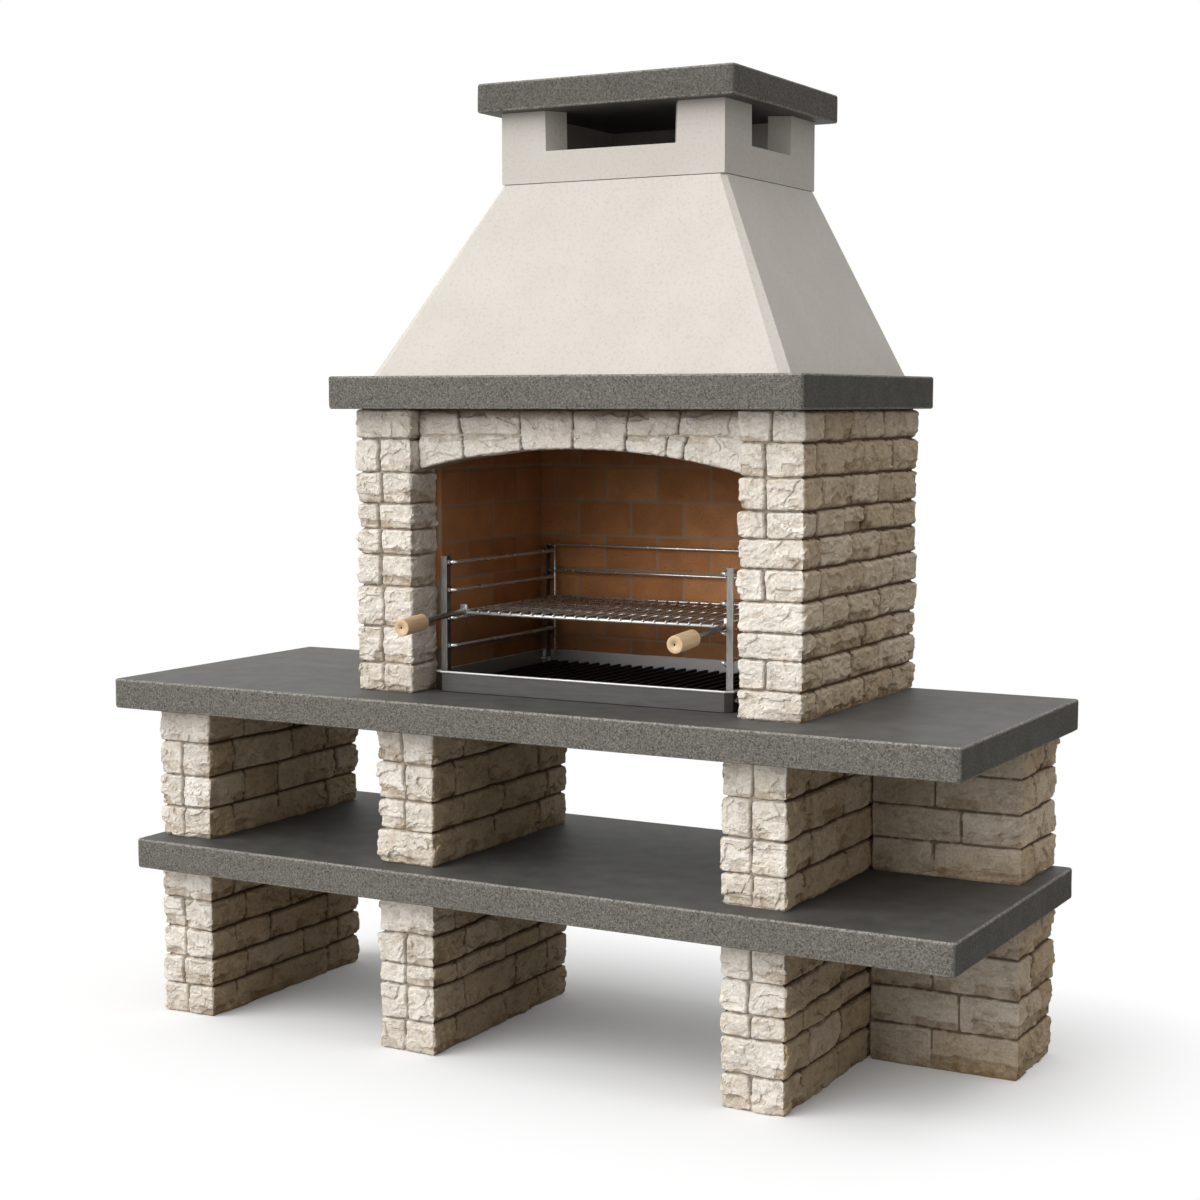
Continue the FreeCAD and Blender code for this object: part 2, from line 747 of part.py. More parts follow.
def drilled(name, bar, sign, sheet, hole_y):
    """Drills an upright for its four rails and its tray bolt."""
    length = f"({sheet} + 2 * dims.cut_over)"
    start = at_side(sign, f"({flange} - dims.cut_over)", length)
    holes = []
    for level in RAIL_LEVELS:
        where = (start, hole_y, rail_level(level))
        holes.append(rod(f"{name}_hole_{level}", where, length, "dims.rail_dia / 2 + dims.hole_gap", "x"))
    bolt_hole = "dims.bolt_dia / 2 + dims.hole_gap"
    holes.append(rod(f"{name}_bolt_hole", (start, hole_y, bolt_z), length, bolt_hole, "x"))
    return cut(f"{name}_drilled", bar, group(f"{name}_holes", holes))


for side, sign in SIDES:
    inner_leaf = box(
        f"inner_leaf_{side}",
        (at_side(sign, flange, "dims.upright_sheet"), upright_y, tray_floor),
        ("dims.upright_sheet", "dims.upright_size", upright_high),
    )
    front_leaf = box(
        f"front_leaf_{side}",
        (at_side(sign, flange, "dims.upright_size"), upright_y, tray_floor),
        ("dims.upright_size", "dims.upright_sheet", upright_high),
    )
    angle = fuse(f"front_angle_{side}", [inner_leaf, front_leaf])
    name = f"front_upright_{side}"
    node(drilled(name, angle, sign, "dims.upright_sheet", front_leg_y), name)
    flat = box(
        f"rear_flat_{side}",
        (at_side(sign, flange, "dims.rear_bar_sheet"), rear_y, tray_floor),
        ("dims.rear_bar_sheet", "dims.rear_bar_width", upright_high),
    )
    name = f"rear_upright_{side}"
    node(drilled(name, flat, sign, "dims.rear_bar_sheet", rear_leg_y), name)

# Side rails: round rods bent outwards at both ends, through the uprights
rail_x = f"({flange} - dims.rail_inset)"
bend_x = f"({rail_x} + dims.rail_bend)"
leg_length = (
    "(dims.rail_inset - dims.rail_bend + dims.rear_bar_sheet + dims.nut_height + dims.rail_past_nut)"
)
rail_radius = "dims.rail_dia / 2"


def rail(name, sign, level):
    """One rail: a straight run, two quarter bends and two end legs, in one piece."""
    z = rail_level(level)
    run_start = (at_side(sign, rail_x), f"({front_leg_y} + dims.rail_bend)", z)
    run_length = f"{rear_leg_y} - {front_leg_y} - 2 * dims.rail_bend"
    pieces = [rod(f"{name}_run", run_start, run_length, rail_radius, "y")]
    for end, leg_y, toward in (("front", front_leg_y, 1), ("rear", rear_leg_y, -1)):
        leg_start = (at_side(sign, bend_x, leg_length), leg_y, z)
        pieces.append(rod(f"{name}_{end}_leg", leg_start, leg_length, rail_radius, "x"))
        bend = doc.addObject("Part::Torus", f"{name}_{end}_bend")
        bind(bend, {"Radius1": "dims.rail_bend", "Radius2": rail_radius})
        bend.Angle3 = 90
        quarter = {(1, 1): 180, (1, -1): 90, (-1, 1): 270, (-1, -1): 0}[(sign, toward)]
        bend_y = f"({leg_y} + {toward} * dims.rail_bend)"
        place(bend, (at_side(sign, bend_x), bend_y, z), Rotation(Vector(0, 0, 1), quarter))
        pieces.append(bend)
    return fuse(name, pieces)


for side, sign in SIDES:
    rails = [rail(f"rail_{side}_{level}", sign, level) for level in RAIL_LEVELS]
    node(group(f"rails_{side}", rails), f"side_rails_{side}")

# Nuts on the rail ends, inside and outside the uprights


def nut(name, start, height, width, thread):
    """A hexagon nut along X from its lower face."""
    blank = hexagon(f"{name}_blank", start, height, width)
    bore = rod(f"{name}_bore", start, height, f"{thread} / 2 + dims.hole_gap / 2", "x")
    return cut(name, blank, bore)


inner_nuts = []
outer_nuts = []
rail_ends = (("front", front_leg_y, "dims.upright_sheet"), ("rear", rear_leg_y, "dims.rear_bar_sheet"))
for side, sign in SIDES:
    for end, leg_y, sheet in rail_ends:
        for level in RAIL_LEVELS:
            inside = at_side(sign, f"({flange} - dims.nut_height)", "dims.nut_height")
            outside = at_side(sign, f"({flange} + {sheet})", "dims.nut_height")
            name = f"{side}_{end}_{level}"
            z = rail_level(level)
            sizes = ("dims.nut_height", "dims.nut_width", "dims.rail_dia")
            inner_nuts.append(nut(f"inner_nut_{name}", (inside, leg_y, z), *sizes))
            outer_nuts.append(nut(f"outer_nut_{name}", (outside, leg_y, z), *sizes))
node(group("inner_nuts", inner_nuts), "rail_inner_nuts")
node(group("outer_nuts", outer_nuts), "rail_outer_nuts")

# Rear guard: three rods between the rear uprights and two posts down to the tray, welded into one piece
guard_bars = []
for level in GUARD_LEVELS:
    start = (at_side(-1, flange), rear_leg_y, f"({rail_level(level)} + dims.guard_lift)")
    guard_bars.append(rod(f"guard_rod_{level}", start, f"2 * {flange}", "dims.guard_dia / 2", "x"))
post_high = f"({rail_level(GUARD_LEVELS[-1])} + dims.guard_lift - {tray_floor})"
for side, sign in SIDES:
    start = (at_side(sign, f"({rail_x} - dims.guard_post_inset)"), rear_leg_y, tray_floor)
    guard_bars.append(rod(f"guard_post_{side}", start, post_high, "dims.guard_post_dia / 2", "z"))
node(fuse("guard_frame", guard_bars), "rear_guard")

# Tray bolts: from outside the tray wall, through a spacer and an upright, to a nut
tray_wall = f"({tray_width} / 2 - dims.tray_sheet)"
tray_side = f"({tray_width} / 2)"
bolts = []
spacers = []
bolt_nuts = []
for side, sign in SIDES:
    for end, leg_y, sheet in rail_ends:
        name = f"{side}_{end}"
        reach = f"({tray_side} - {flange} + dims.bolt_nut_height)"
        shank_from = at_side(sign, f"({flange} - dims.bolt_nut_height)", reach)
        shank = rod(f"shank_{name}", (shank_from, leg_y, bolt_z), reach, "dims.bolt_dia / 2", "x")
        head_from = at_side(sign, tray_side, "dims.bolt_head_height")
        head = hexagon(
            f"head_{name}", (head_from, leg_y, bolt_z), "dims.bolt_head_height", "dims.bolt_head_width"
        )
        bolts.append(fuse(f"bolt_{name}", [shank, head]))
        gap = f"({tray_wall} - {flange} - {sheet})"
        spacer_from = at_side(sign, f"({flange} + {sheet})", gap)
        tube = rod(f"tube_{name}", (spacer_from, leg_y, bolt_z), gap, "dims.spacer_dia / 2", "x")
        bore_radius = "dims.bolt_dia / 2 + dims.hole_gap"
        bore = rod(f"tube_bore_{name}", (spacer_from, leg_y, bolt_z), gap, bore_radius, "x")
        spacers.append(cut(f"spacer_{name}", tube, bore))
        nut_from = at_side(sign, f"({flange} - dims.bolt_nut_height)", "dims.bolt_nut_height")
        sizes = ("dims.bolt_nut_height", "dims.bolt_head_width", "dims.bolt_dia")
        bolt_nuts.append(nut(f"bolt_nut_{name}", (nut_from, leg_y, bolt_z), *sizes))
        hole = sketch_on(tray, f"wall_hole_{name}", "YZ_Plane", "0" if sign < 0 else tray_width)
        hole.addGeometry(Part.Circle(Vector(10, 10), Vector(0, 0, 1), value(bore_radius)), False)
        measures = (
            ("across", "DistanceX", (-1, 1, 0, 3), f"{leg_y} - {tray_y}"),
            ("up", "DistanceY", (-1, 1, 0, 3), "dims.bolt_level"),
            ("radius", "Radius", (0,), bore_radius),
        )
        for word, kind, points, formula in measures:
            number = hole.addConstraint(Sketcher.Constraint(kind, *points, value(formula)))
            hole.renameConstraint(number, word)
            hole.setExpression(f"Constraints.{word}", formula)
        pocket(tray, f"wall_drill_{name}", hole, "dims.tray_sheet", back=sign < 0)
node(group("bolts", bolts), "tray_bolts")
node(group("spacers", spacers), "tray_spacers")
node(group("bolt_nuts", bolt_nuts), "tray_nuts")

# Charcoal grate: bars on three feet, in one piece, loose in the tray
grate_half = f"({rail_x} - dims.grate_gap)"
grate_length = f"({tray_depth} - 2 * dims.tray_sheet - dims.grate_front - dims.grate_back)"
grate = body(
    "charcoal_grate",
    (
        f"({kit_x} - {grate_half})",
        f"({tray_y} + dims.tray_sheet + dims.grate_front)",
        tray_floor,
    ),
)
foot_plan = rectangle(
    sketch_on(grate, "foot_plan", "XY_Plane"), "foot", "0", "0", f"2 * {grate_half}", "dims.grate_foot_width"
)
foot = pad(grate, "grate_foot", foot_plan, "dims.grate_foot_height")
repeat(grate, "grate_feet", foot, "Y_Axis", f"{grate_length} - dims.grate_foot_width", GRATE_FEET)
bar_plan = rectangle(
    sketch_on(grate, "bar_plan", "XY_Plane", "dims.grate_foot_height"),
    "bar",
    "0",
    "0",
    "dims.grate_bar_width",
    grate_length,
)
bar = pad(grate, "grate_bar", bar_plan, "dims.grate_bar_height")
repeat(grate, "grate_bars", bar, "X_Axis", f"2 * {grate_half} - dims.grate_bar_width", GRATE_BARS)

# Cooking grid: cross rods that ride on a pair of rails, with wires welded on top
cross_half = f"({rail_x} + dims.grid_overlap)"
cross_z = (
    f"({rail_level(GRID_LEVEL)} + dims.rail_dia / 2 + dims.slide_gap + dims.cross_dia / 2)"
)
grid_y = f"({tray_y} + dims.tray_sheet + dims.grid_front)"
grid_end = f"({rear_leg_y} - dims.guard_dia / 2 - dims.grid_back_gap - dims.wire_over)"
grid_depth = f"({grid_end} - {grid_y})"
cross_rods = []
for number in range(CROSS_RODS):
    start = (
        at_side(-1, cross_half),
        f"({grid_y} + {grid_depth} * {number} / {CROSS_RODS - 1})",
        cross_z,
    )
    cross_rods.append(rod(f"cross_rod_{number}", start, f"2 * {cross_half}", "dims.cross_dia / 2", "x"))
node(group("cross_rods", cross_rods), "grid_cross_rods")
wire_half = f"({rail_x} - dims.wire_inset)"
wire_z = f"({cross_z} + dims.cross_dia / 2 + dims.wire_dia / 2 - dims.weld_sink)"
wire_length = f"({grid_depth} + 2 * dims.wire_over)"
wires = []
for number in range(GRID_WIRES):
    start = (
        f"({kit_x} - {wire_half} + 2 * {wire_half} * {number} / {GRID_WIRES - 1})",
        f"({grid_y} - dims.wire_over)",
        wire_z,
    )
    wires.append(rod(f"wire_{number}", start, wire_length, "dims.wire_dia / 2", "y"))
node(group("wires", wires), "grid_wires")

# Handles: an end plate welded to the front cross rod, a rod that dips forwards, a beech grip and its screw
handle_z = f"({cross_z} + dims.handle_lift)"
weld_y = f"({grid_y} - dims.cross_dia / 2 + dims.weld_sink)"
dip = "atan(dims.handle_dip / dims.handle_reach)"
grip_back = "(dims.plate_thick + dims.handle_reach)"
grip_tip = f"({grip_back} + dims.grip_length)"
rod_tip = f"({grip_back} + dims.grip_bore)"
head_back = f"({grip_tip} - dims.screw_head_height)"
thread_back = f"({rod_tip} - dims.screw_into_rod)"


def on_handle(axis_x, distance):
    """The point of the handle's axis at a distance from its weld."""
    return (axis_x, f"({weld_y} - {distance} * cos({dip}))", f"({handle_z} - {distance} * sin({dip}))")


def handle_bar(name, axis_x, back, tip, radius):
    """A round bar on the handle's axis between two distances from the weld."""
    thing = doc.addObject("Part::Cylinder", name)
    bind(thing, {"Height": f"{tip} - {back}", "Radius": radius})
    place(thing, on_handle(axis_x, back), Rotation(Vector(1, 0, 0), 90))
    return bind(thing, {"Placement.Rotation.Angle": f"90 deg + {dip}"})


screws = []
for side, sign in SIDES:
    axis_x = at_side(sign, rail_x)
    plate = box(
        f"plate_{side}",
        (
            f"({axis_x} - dims.plate_width / 2)",
            f"({weld_y} - dims.plate_thick)",
            f"({handle_z} - dims.handle_dia / 2 - dims.plate_below)",
        ),
        ("dims.plate_width", "dims.plate_thick", "dims.plate_height"),
    )
    rod_radius = "dims.handle_dia / 2"
    through = "(dims.plate_thick + dims.cut_over)"
    plate_hole = handle_bar(f"plate_hole_{side}", axis_x, "(-dims.cut_over)", through, rod_radius)
    node(cut(f"plate_cut_{side}", plate, plate_hole), f"handle_plate_{side}")

    bar = handle_bar(f"bar_{side}", axis_x, "0", rod_tip, rod_radius)
    thread_end = f"({thread_back} - dims.tap_room)"
    thread_radius = "dims.screw_dia / 2 + dims.hole_gap / 2"
    thread = handle_bar(f"thread_{side}", axis_x, thread_end, rod_tip, thread_radius)
    node(cut(f"bar_tapped_{side}", bar, thread), f"handle_rod_{side}")

    grip = body(f"handle_grip_{side}", on_handle(axis_x, grip_back), Rotation(Vector(1, 0, 0), 1))
    bind(grip, {"Placement.Rotation.Angle": dip})
    grip_plan = circle(sketch_on(grip, f"grip_plan_{side}", "XZ_Plane"), "dims.grip_dia / 2")
    grip_block = pad(grip, f"grip_block_{side}", grip_plan, "dims.grip_length")
    grip_round = grip.newObject("PartDesign::Fillet", f"grip_round_{side}")
    grip_round.Base = (grip_block, [""])
    grip_round.UseAllEdges = True
    bind(grip_round, {"Radius": "dims.grip_round"})
    bores = (
        ("bore", "dims.handle_dia / 2 + dims.hole_gap / 2", "dims.grip_bore", "0", True),
        ("screw_way", "dims.screw_dia / 2 + dims.hole_gap", "dims.grip_length", "0", True),
        (
            "head_seat",
            "dims.screw_head_dia / 2 + dims.hole_gap",
            "dims.screw_head_height",
            "dims.grip_length",
            False,
        ),
    )
    for word, radius, depth, lift, reverse in bores:
        hole = circle(sketch_on(grip, f"{word}_plan_{side}", "XZ_Plane", lift), radius)
        pocket(grip, f"{word}_{side}", hole, depth, back=reverse)

    head = handle_bar(f"screw_head_{side}", axis_x, head_back, grip_tip, "dims.screw_head_dia / 2")
    shank = handle_bar(f"screw_shank_{side}", axis_x, thread_back, head_back, "dims.screw_dia / 2")
    screws.append(fuse(f"screw_{side}", [head, shank]))
node(group("screws", screws), "grip_screws")

doc.recompute()
faults = [each.Name for each in doc.Objects if "Invalid" in each.State or "Error" in each.State]
faults += [each.Label for each in nodes if each.Shape.isNull() or not each.Shape.isValid()]
if faults:
    raise RuntimeError("these did not build: " + ", ".join(sorted(set(faults))))

os.makedirs("parts", exist_ok=True)
for each in nodes:
    each.Shape.exportStep(f"parts/{each.Label}.step")
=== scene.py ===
from math import radians

import bpy
import numpy as np
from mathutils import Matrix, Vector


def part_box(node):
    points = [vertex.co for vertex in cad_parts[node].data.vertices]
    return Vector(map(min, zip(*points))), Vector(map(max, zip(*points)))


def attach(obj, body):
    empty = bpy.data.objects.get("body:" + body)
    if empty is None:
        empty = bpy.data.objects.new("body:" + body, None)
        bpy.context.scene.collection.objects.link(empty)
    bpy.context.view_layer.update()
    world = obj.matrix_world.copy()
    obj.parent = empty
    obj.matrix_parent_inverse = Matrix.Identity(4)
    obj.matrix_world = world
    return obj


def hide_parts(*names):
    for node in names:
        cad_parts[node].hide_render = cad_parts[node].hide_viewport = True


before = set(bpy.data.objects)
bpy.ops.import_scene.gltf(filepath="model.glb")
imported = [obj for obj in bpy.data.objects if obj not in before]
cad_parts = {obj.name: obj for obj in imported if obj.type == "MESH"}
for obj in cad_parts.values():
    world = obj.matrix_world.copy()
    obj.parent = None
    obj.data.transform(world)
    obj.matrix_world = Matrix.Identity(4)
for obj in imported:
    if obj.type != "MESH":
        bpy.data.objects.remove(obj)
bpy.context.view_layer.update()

# Lower legs and return wall: cream cast stone with split faces, laid in courses on mortar,
# mostly two stones to a front face and four along a side, with raked joints.
# They stand on the ground and carry the shelf slab.


def linear(code):
    """An sRGB hex colour as linear red, green, blue and alpha."""
    channels = np.array([int(code[start:start + 2], 16) for start in (1, 3, 5)]) / 255
    curved = ((channels + 0.055) / 1.055) ** 2.4
    return (*np.where(channels <= 0.04045, channels / 12.92, curved), 1.0)


def add(tree, kind, inputs, **settings):
    """Adds a node, sets its own properties, and sets or links its inputs by name or number."""
    node = tree.nodes.new("ShaderNode" + kind)
    for word, setting in settings.items():
        setattr(node, word, setting)
    for socket, source in inputs.items():
        if isinstance(source, bpy.types.NodeSocket):
            tree.links.new(source, node.inputs[socket])
        else:
            node.inputs[socket].default_value = source
    return node


def new_material(name):
    """A material of its own, with its node tree, its shader and its object coordinates."""
    material = bpy.data.materials.new(name)
    material.use_nodes = True
    tree = material.node_tree
    return material, tree, tree.nodes["Principled BSDF"], add(tree, "TexCoord", {}).outputs["Object"]


def point_value(tree, word):
    """The value that a mesh holds at its points under a name."""
    return add(tree, "Attribute", {}, attribute_name=word).outputs["Fac"]


def blend(tree, share, first, second):
    """Two colours, hex codes or sockets, mixed by a share from 0 to 1."""
    first, second = (linear(each) if isinstance(each, str) else each for each in (first, second))
    return add(tree, "Mix", {0: share, 6: first, 7: second}, data_type="RGBA").outputs[2]


def mapped(tree, value, low, high, to_low=0.0, to_high=1.0):
    """A value carried from one range to another and held at its ends."""
    return add(tree, "MapRange", {0: value, 1: low, 2: high, 3: to_low, 4: to_high}).outputs[0]


def noise(tree, coords, grain, detail, distortion=0.0):
    """Noise from 0 to 1 with a grain in metres."""
    inputs = {"Vector": coords, "Scale": 1 / grain, "Detail": detail, "Distortion": distortion}
    return add(tree, "TexNoise", inputs).outputs["Fac"]


def reckon(tree, operation, *values):
    """One sum on plain values."""
    return add(tree, "Math", dict(enumerate(values)), operation=operation).outputs[0]


def product(tree, colour, factor):
    """A colour multiplied by a number or by another colour."""
    return add(tree, "VectorMath", {0: colour, 1: factor}, operation="MULTIPLY").outputs[0]


def roughen(tree, shader, strength, distance, height):
    """Fine relief: a height in a distance of metres, put on the shader as a bump."""
    inputs = {"Strength": strength, "Distance": distance, "Height": height}
    tree.links.new(add(tree, "Bump", inputs).outputs["Normal"], shader.inputs["Normal"])


def chance(cell, seed):
    """A fixed random number from 0 to 1 for each whole-number point of space."""
    key = cell @ np.array([73856093, 19349663, 83492791]) + 1013904223 * seed
    key = (key ^ (key >> 13)) * 1274126177 & 0x7FFFFFFF
    key = (key ^ (key >> 15)) * 1103515245 & 0x7FFFFFFF
    return ((key ^ (key >> 16)) & 0xFFFFFF) / 0xFFFFFF


def cloud(points, seed):
    """Smooth noise from -1 to 1: a random number at each whole-number point, faded between them."""
    cell = np.floor(points).astype(np.int64)
    part = points - cell
    fade = part * part * (3 - 2 * part)
    total = np.zeros(points.shape[:-1])
    for corner in np.ndindex(2, 2, 2):
        weight = np.prod(np.where(np.array(corner, bool), fade, 1 - fade), axis=-1)
        total += weight * chance(cell + np.array(corner), seed)
    return 2 * total - 1


def scatter(cell, seed):
    """Three fixed random numbers from 0 to 1 for each whole-number point of space."""
    return np.stack([chance(cell, seed + axis) for axis in range(3)], axis=-1)


def chips(points, seed):
    """Split facets: round each scattered point a plane of random height and tilt, the nearest one's value."""
    cell = np.floor(points).astype(np.int64)
    nearest = np.full(points.shape[:-1], np.inf)
    winner = np.zeros(points.shape, np.int64)
    for step in np.ndindex(3, 3, 3):
        here = cell + np.array(step) - 1
        centre = here + scatter(here, seed)
        distance = np.sum((points - centre) ** 2, axis=-1)
        closer = distance < nearest
        nearest[closer] = distance[closer]
        winner[closer] = here[closer]
    centre = winner + scatter(winner, seed)
    tilt = scatter(winner, seed + 3) * 2 - 1
    return chance(winner, seed + 6) * 2 - 1 + np.sum((points - centre) * tilt, axis=-1)


def plan_walk(corners, steps, radius):
    """Walks anticlockwise round a plan of square corners, its outward corners rounded by arcs.

    Each side is sampled at its own step; a sample nearer to a corner than the radius moves onto the arc.
    Gives the points, the outward directions, the distance along the sharp outline and the side's number.
    """
    corners = np.array(corners, float)
    sides = len(corners)
    ahead = np.roll(corners, -1, axis=0) - corners
    lengths = np.linalg.norm(ahead, axis=1)
    along = ahead / lengths[:, None]
    outward = np.stack([along[:, 1], -along[:, 0]], axis=1)
    points, normals, places, numbers = [], [], [], []
    for side, length in enumerate(lengths):
        count = max(2, round(length / steps[side]))
        run = (np.arange(count) + 0.5) / count * length
        point = corners[side] + run[:, None] * along[side]
        normal = np.repeat(outward[side][None], count, axis=0)
        ends = ((side, side - 1, run), ((side + 1) % sides, (side + 1) % sides, length - run))
        for corner, other, gap in ends:
            if np.dot(along[side], outward[other]) * (1 if corner == side else -1) < 0:
                angle = np.radians(45) * np.clip(1 - gap / radius, 0, 1)[:, None]
                arc = np.cos(angle) * outward[side] + np.sin(angle) * outward[other]
                middle = corners[corner] - radius * (outward[side] + outward[other])
                near = (gap < radius)[:, None]
                point = np.where(near, middle + radius * arc, point)
                normal = np.where(near, arc, normal)
        points.append(point)
        normals.append(normal)
        places.append(run + lengths[:side].sum())
        numbers.append(np.full(count, side))
    return [np.concatenate(parts) for parts in (points, normals, places, numbers)]


def side_by_side(*parts):
    """Arrays or numbers spread to one shape and set side by side along a last axis."""
    return np.stack(np.broadcast_arrays(*parts), axis=-1)


def rounded(distance, radius):
    """How far an edge has fallen back, from 1 at the edge to 0 at the radius, as a quarter circle."""
    return 1 - np.sqrt(1 - (1 - np.clip(distance / radius, 0, 1)) ** 2)


def new_piece(name, points, quads, lids, material, smooth=True, **attributes):
    """A mesh object from points in millimetres, four-sided faces, flat end faces and point attributes."""
    mesh = bpy.data.meshes.new(name)
    mesh.vertices.add(len(points))
    mesh.vertices.foreach_set("co", (points * 0.001).astype(np.float32).ravel())
    sizes = np.concatenate([np.full(len(quads), 4), [len(lid) for lid in lids]]).astype(np.int32)
    corners = np.concatenate([quads.ravel(), *lids]).astype(np.int32)
    mesh.loops.add(len(corners))
    mesh.loops.foreach_set("vertex_index", corners)
    mesh.polygons.add(len(sizes))
    mesh.polygons.foreach_set("loop_start", (np.cumsum(sizes) - sizes).astype(np.int32))
    mesh.polygons.foreach_set("use_smooth", (sizes == 4) & smooth)
    mesh.update(calc_edges=True)
    mesh.validate()
    for word, values in attributes.items():
        attribute = mesh.attributes.new(word, "FLOAT", "POINT")
        attribute.data.foreach_set("value", values.astype(np.float32).ravel())
    mesh.materials.append(material)
    thing = bpy.data.objects.new(name, mesh)
    bpy.context.scene.collection.objects.link(thing)
    return thing


def grid_quads(rows, columns, round_columns=True, round_rows=False):
    """The faces of a grid of points numbered row by row, closed across columns or rows that run round."""
    row = np.arange(rows if round_rows else rows - 1)[:, None]
    column = np.arange(columns if round_columns else columns - 1)[None]
    above = (row + 1) % rows
    beside = (column + 1) % columns
    start, end = row * columns, above * columns
    return side_by_side(start + column, start + beside, end + beside, end + column).reshape(-1, 4)


def end_lids(rows, columns):
    """The flat faces that close a tube of grid points at its first and its last row."""
    return np.arange(columns)[::-1], np.arange(columns) + (rows - 1) * columns


def closed_ring(name, ring, material, smooth=True, lidded=True, **looks):
    """A piece of rows of points that run round, with a lid at each end or joined from last row to first."""
    shape = ring.shape[:2]
    quads = grid_quads(*shape, round_rows=not lidded)
    lids = end_lids(*shape) if lidded else ()
    return new_piece(name, ring.reshape(-1, 3), quads, lids, material, smooth, **looks)


def course_rows(joints, spacing):
    """The heights of the grid rows of a wall, close together at each bed joint and evenly spaced between.

    Gives, row by row, the course, and the distances up from the joint below and down to the joint above.
    """
    close = np.array([0, 1.5, 3.5, 6, 9, 12.5])
    course, below, above = [], [], []
    for number, (low, high) in enumerate(zip(joints, joints[1:])):
        tall = high - low
        inner = tall - 2 * close[-1]
        count = max(2, round(inner / spacing))
        middle = close[-1] + np.arange(1, count) / count * inner
        up = np.concatenate([close, middle, tall - close[:0:-1]])
        if number == len(joints) - 2:
            up = np.append(up, tall)
        course.append(np.full(len(up), number))
        below.append(up)
        above.append(tall - up)
    return [np.concatenate(parts) for parts in (course, below, above)]


FRONT_STEP = 2.0
STONE_STEP = 3.0
HIDDEN_STEP = 24
ROW_STEP = 3.4
BROAD_FACET = 66
SMALL_FACET = 21
FINE_GRAIN = 6
LEDGE_GRAIN = 16
LEDGE_RUN = 44
EDGE_GRAIN = 11
ARRIS_ROUND = 5
CHIP_REACH = 14
STONE_CORNER = 8
BED_WANDER = 2.4
PERPEND_LEAN = 2
HELD_BACK = 0.8
BED_DEPTH = 11
FOOT_DEPTH = 6
FOOT_SHADE = 0.5
FOOT_REACH = 80


def split_face(base, token, foot, tall, seed):
    """The height of a split stone face, and how much shade to paint in its hollows there.

    It adds broad and small facets, a grainy surface, and a ledge chipped back along the foot of each stone.
    """
    bend = np.stack([cloud(base / 24 + shift, seed + shift) for shift in (1, 2, 3)], axis=-1)
    spot = (base + 10 * bend) * (1, 1, 2)
    broad = chips(spot / BROAD_FACET, seed + 20)
    small = chips(spot / SMALL_FACET, seed + 40)
    grain = cloud(base / FINE_GRAIN, seed + 60)
    level = base * (1, 1, 0.2)
    ledge = tall * (0.14 + 0.32 * chance(token, 31)) + 6 * cloud(level / LEDGE_GRAIN, seed + 70)
    broken = np.clip(0.55 + 2.5 * cloud(level / LEDGE_RUN, seed + 71), 0, 1)
    chipped = np.clip((ledge - foot) / 4, 0, 1) * broken
    height = 2.3 * broad + 1.0 * small + 0.4 * grain - 5.0 * chipped + 1.8 * (chance(token, 5) * 2 - 1)
    painted_hollow_shade = np.clip(0.55 * chipped - 0.3 * small - 0.15 * grain, 0, 1)
    return height, painted_hollow_shade


def mortar_share(fallen):
    """How much mortar shows where a stone has fallen back by a share of the joint's depth."""
    return np.clip((fallen - 0.6) / 0.35, 0, 1)


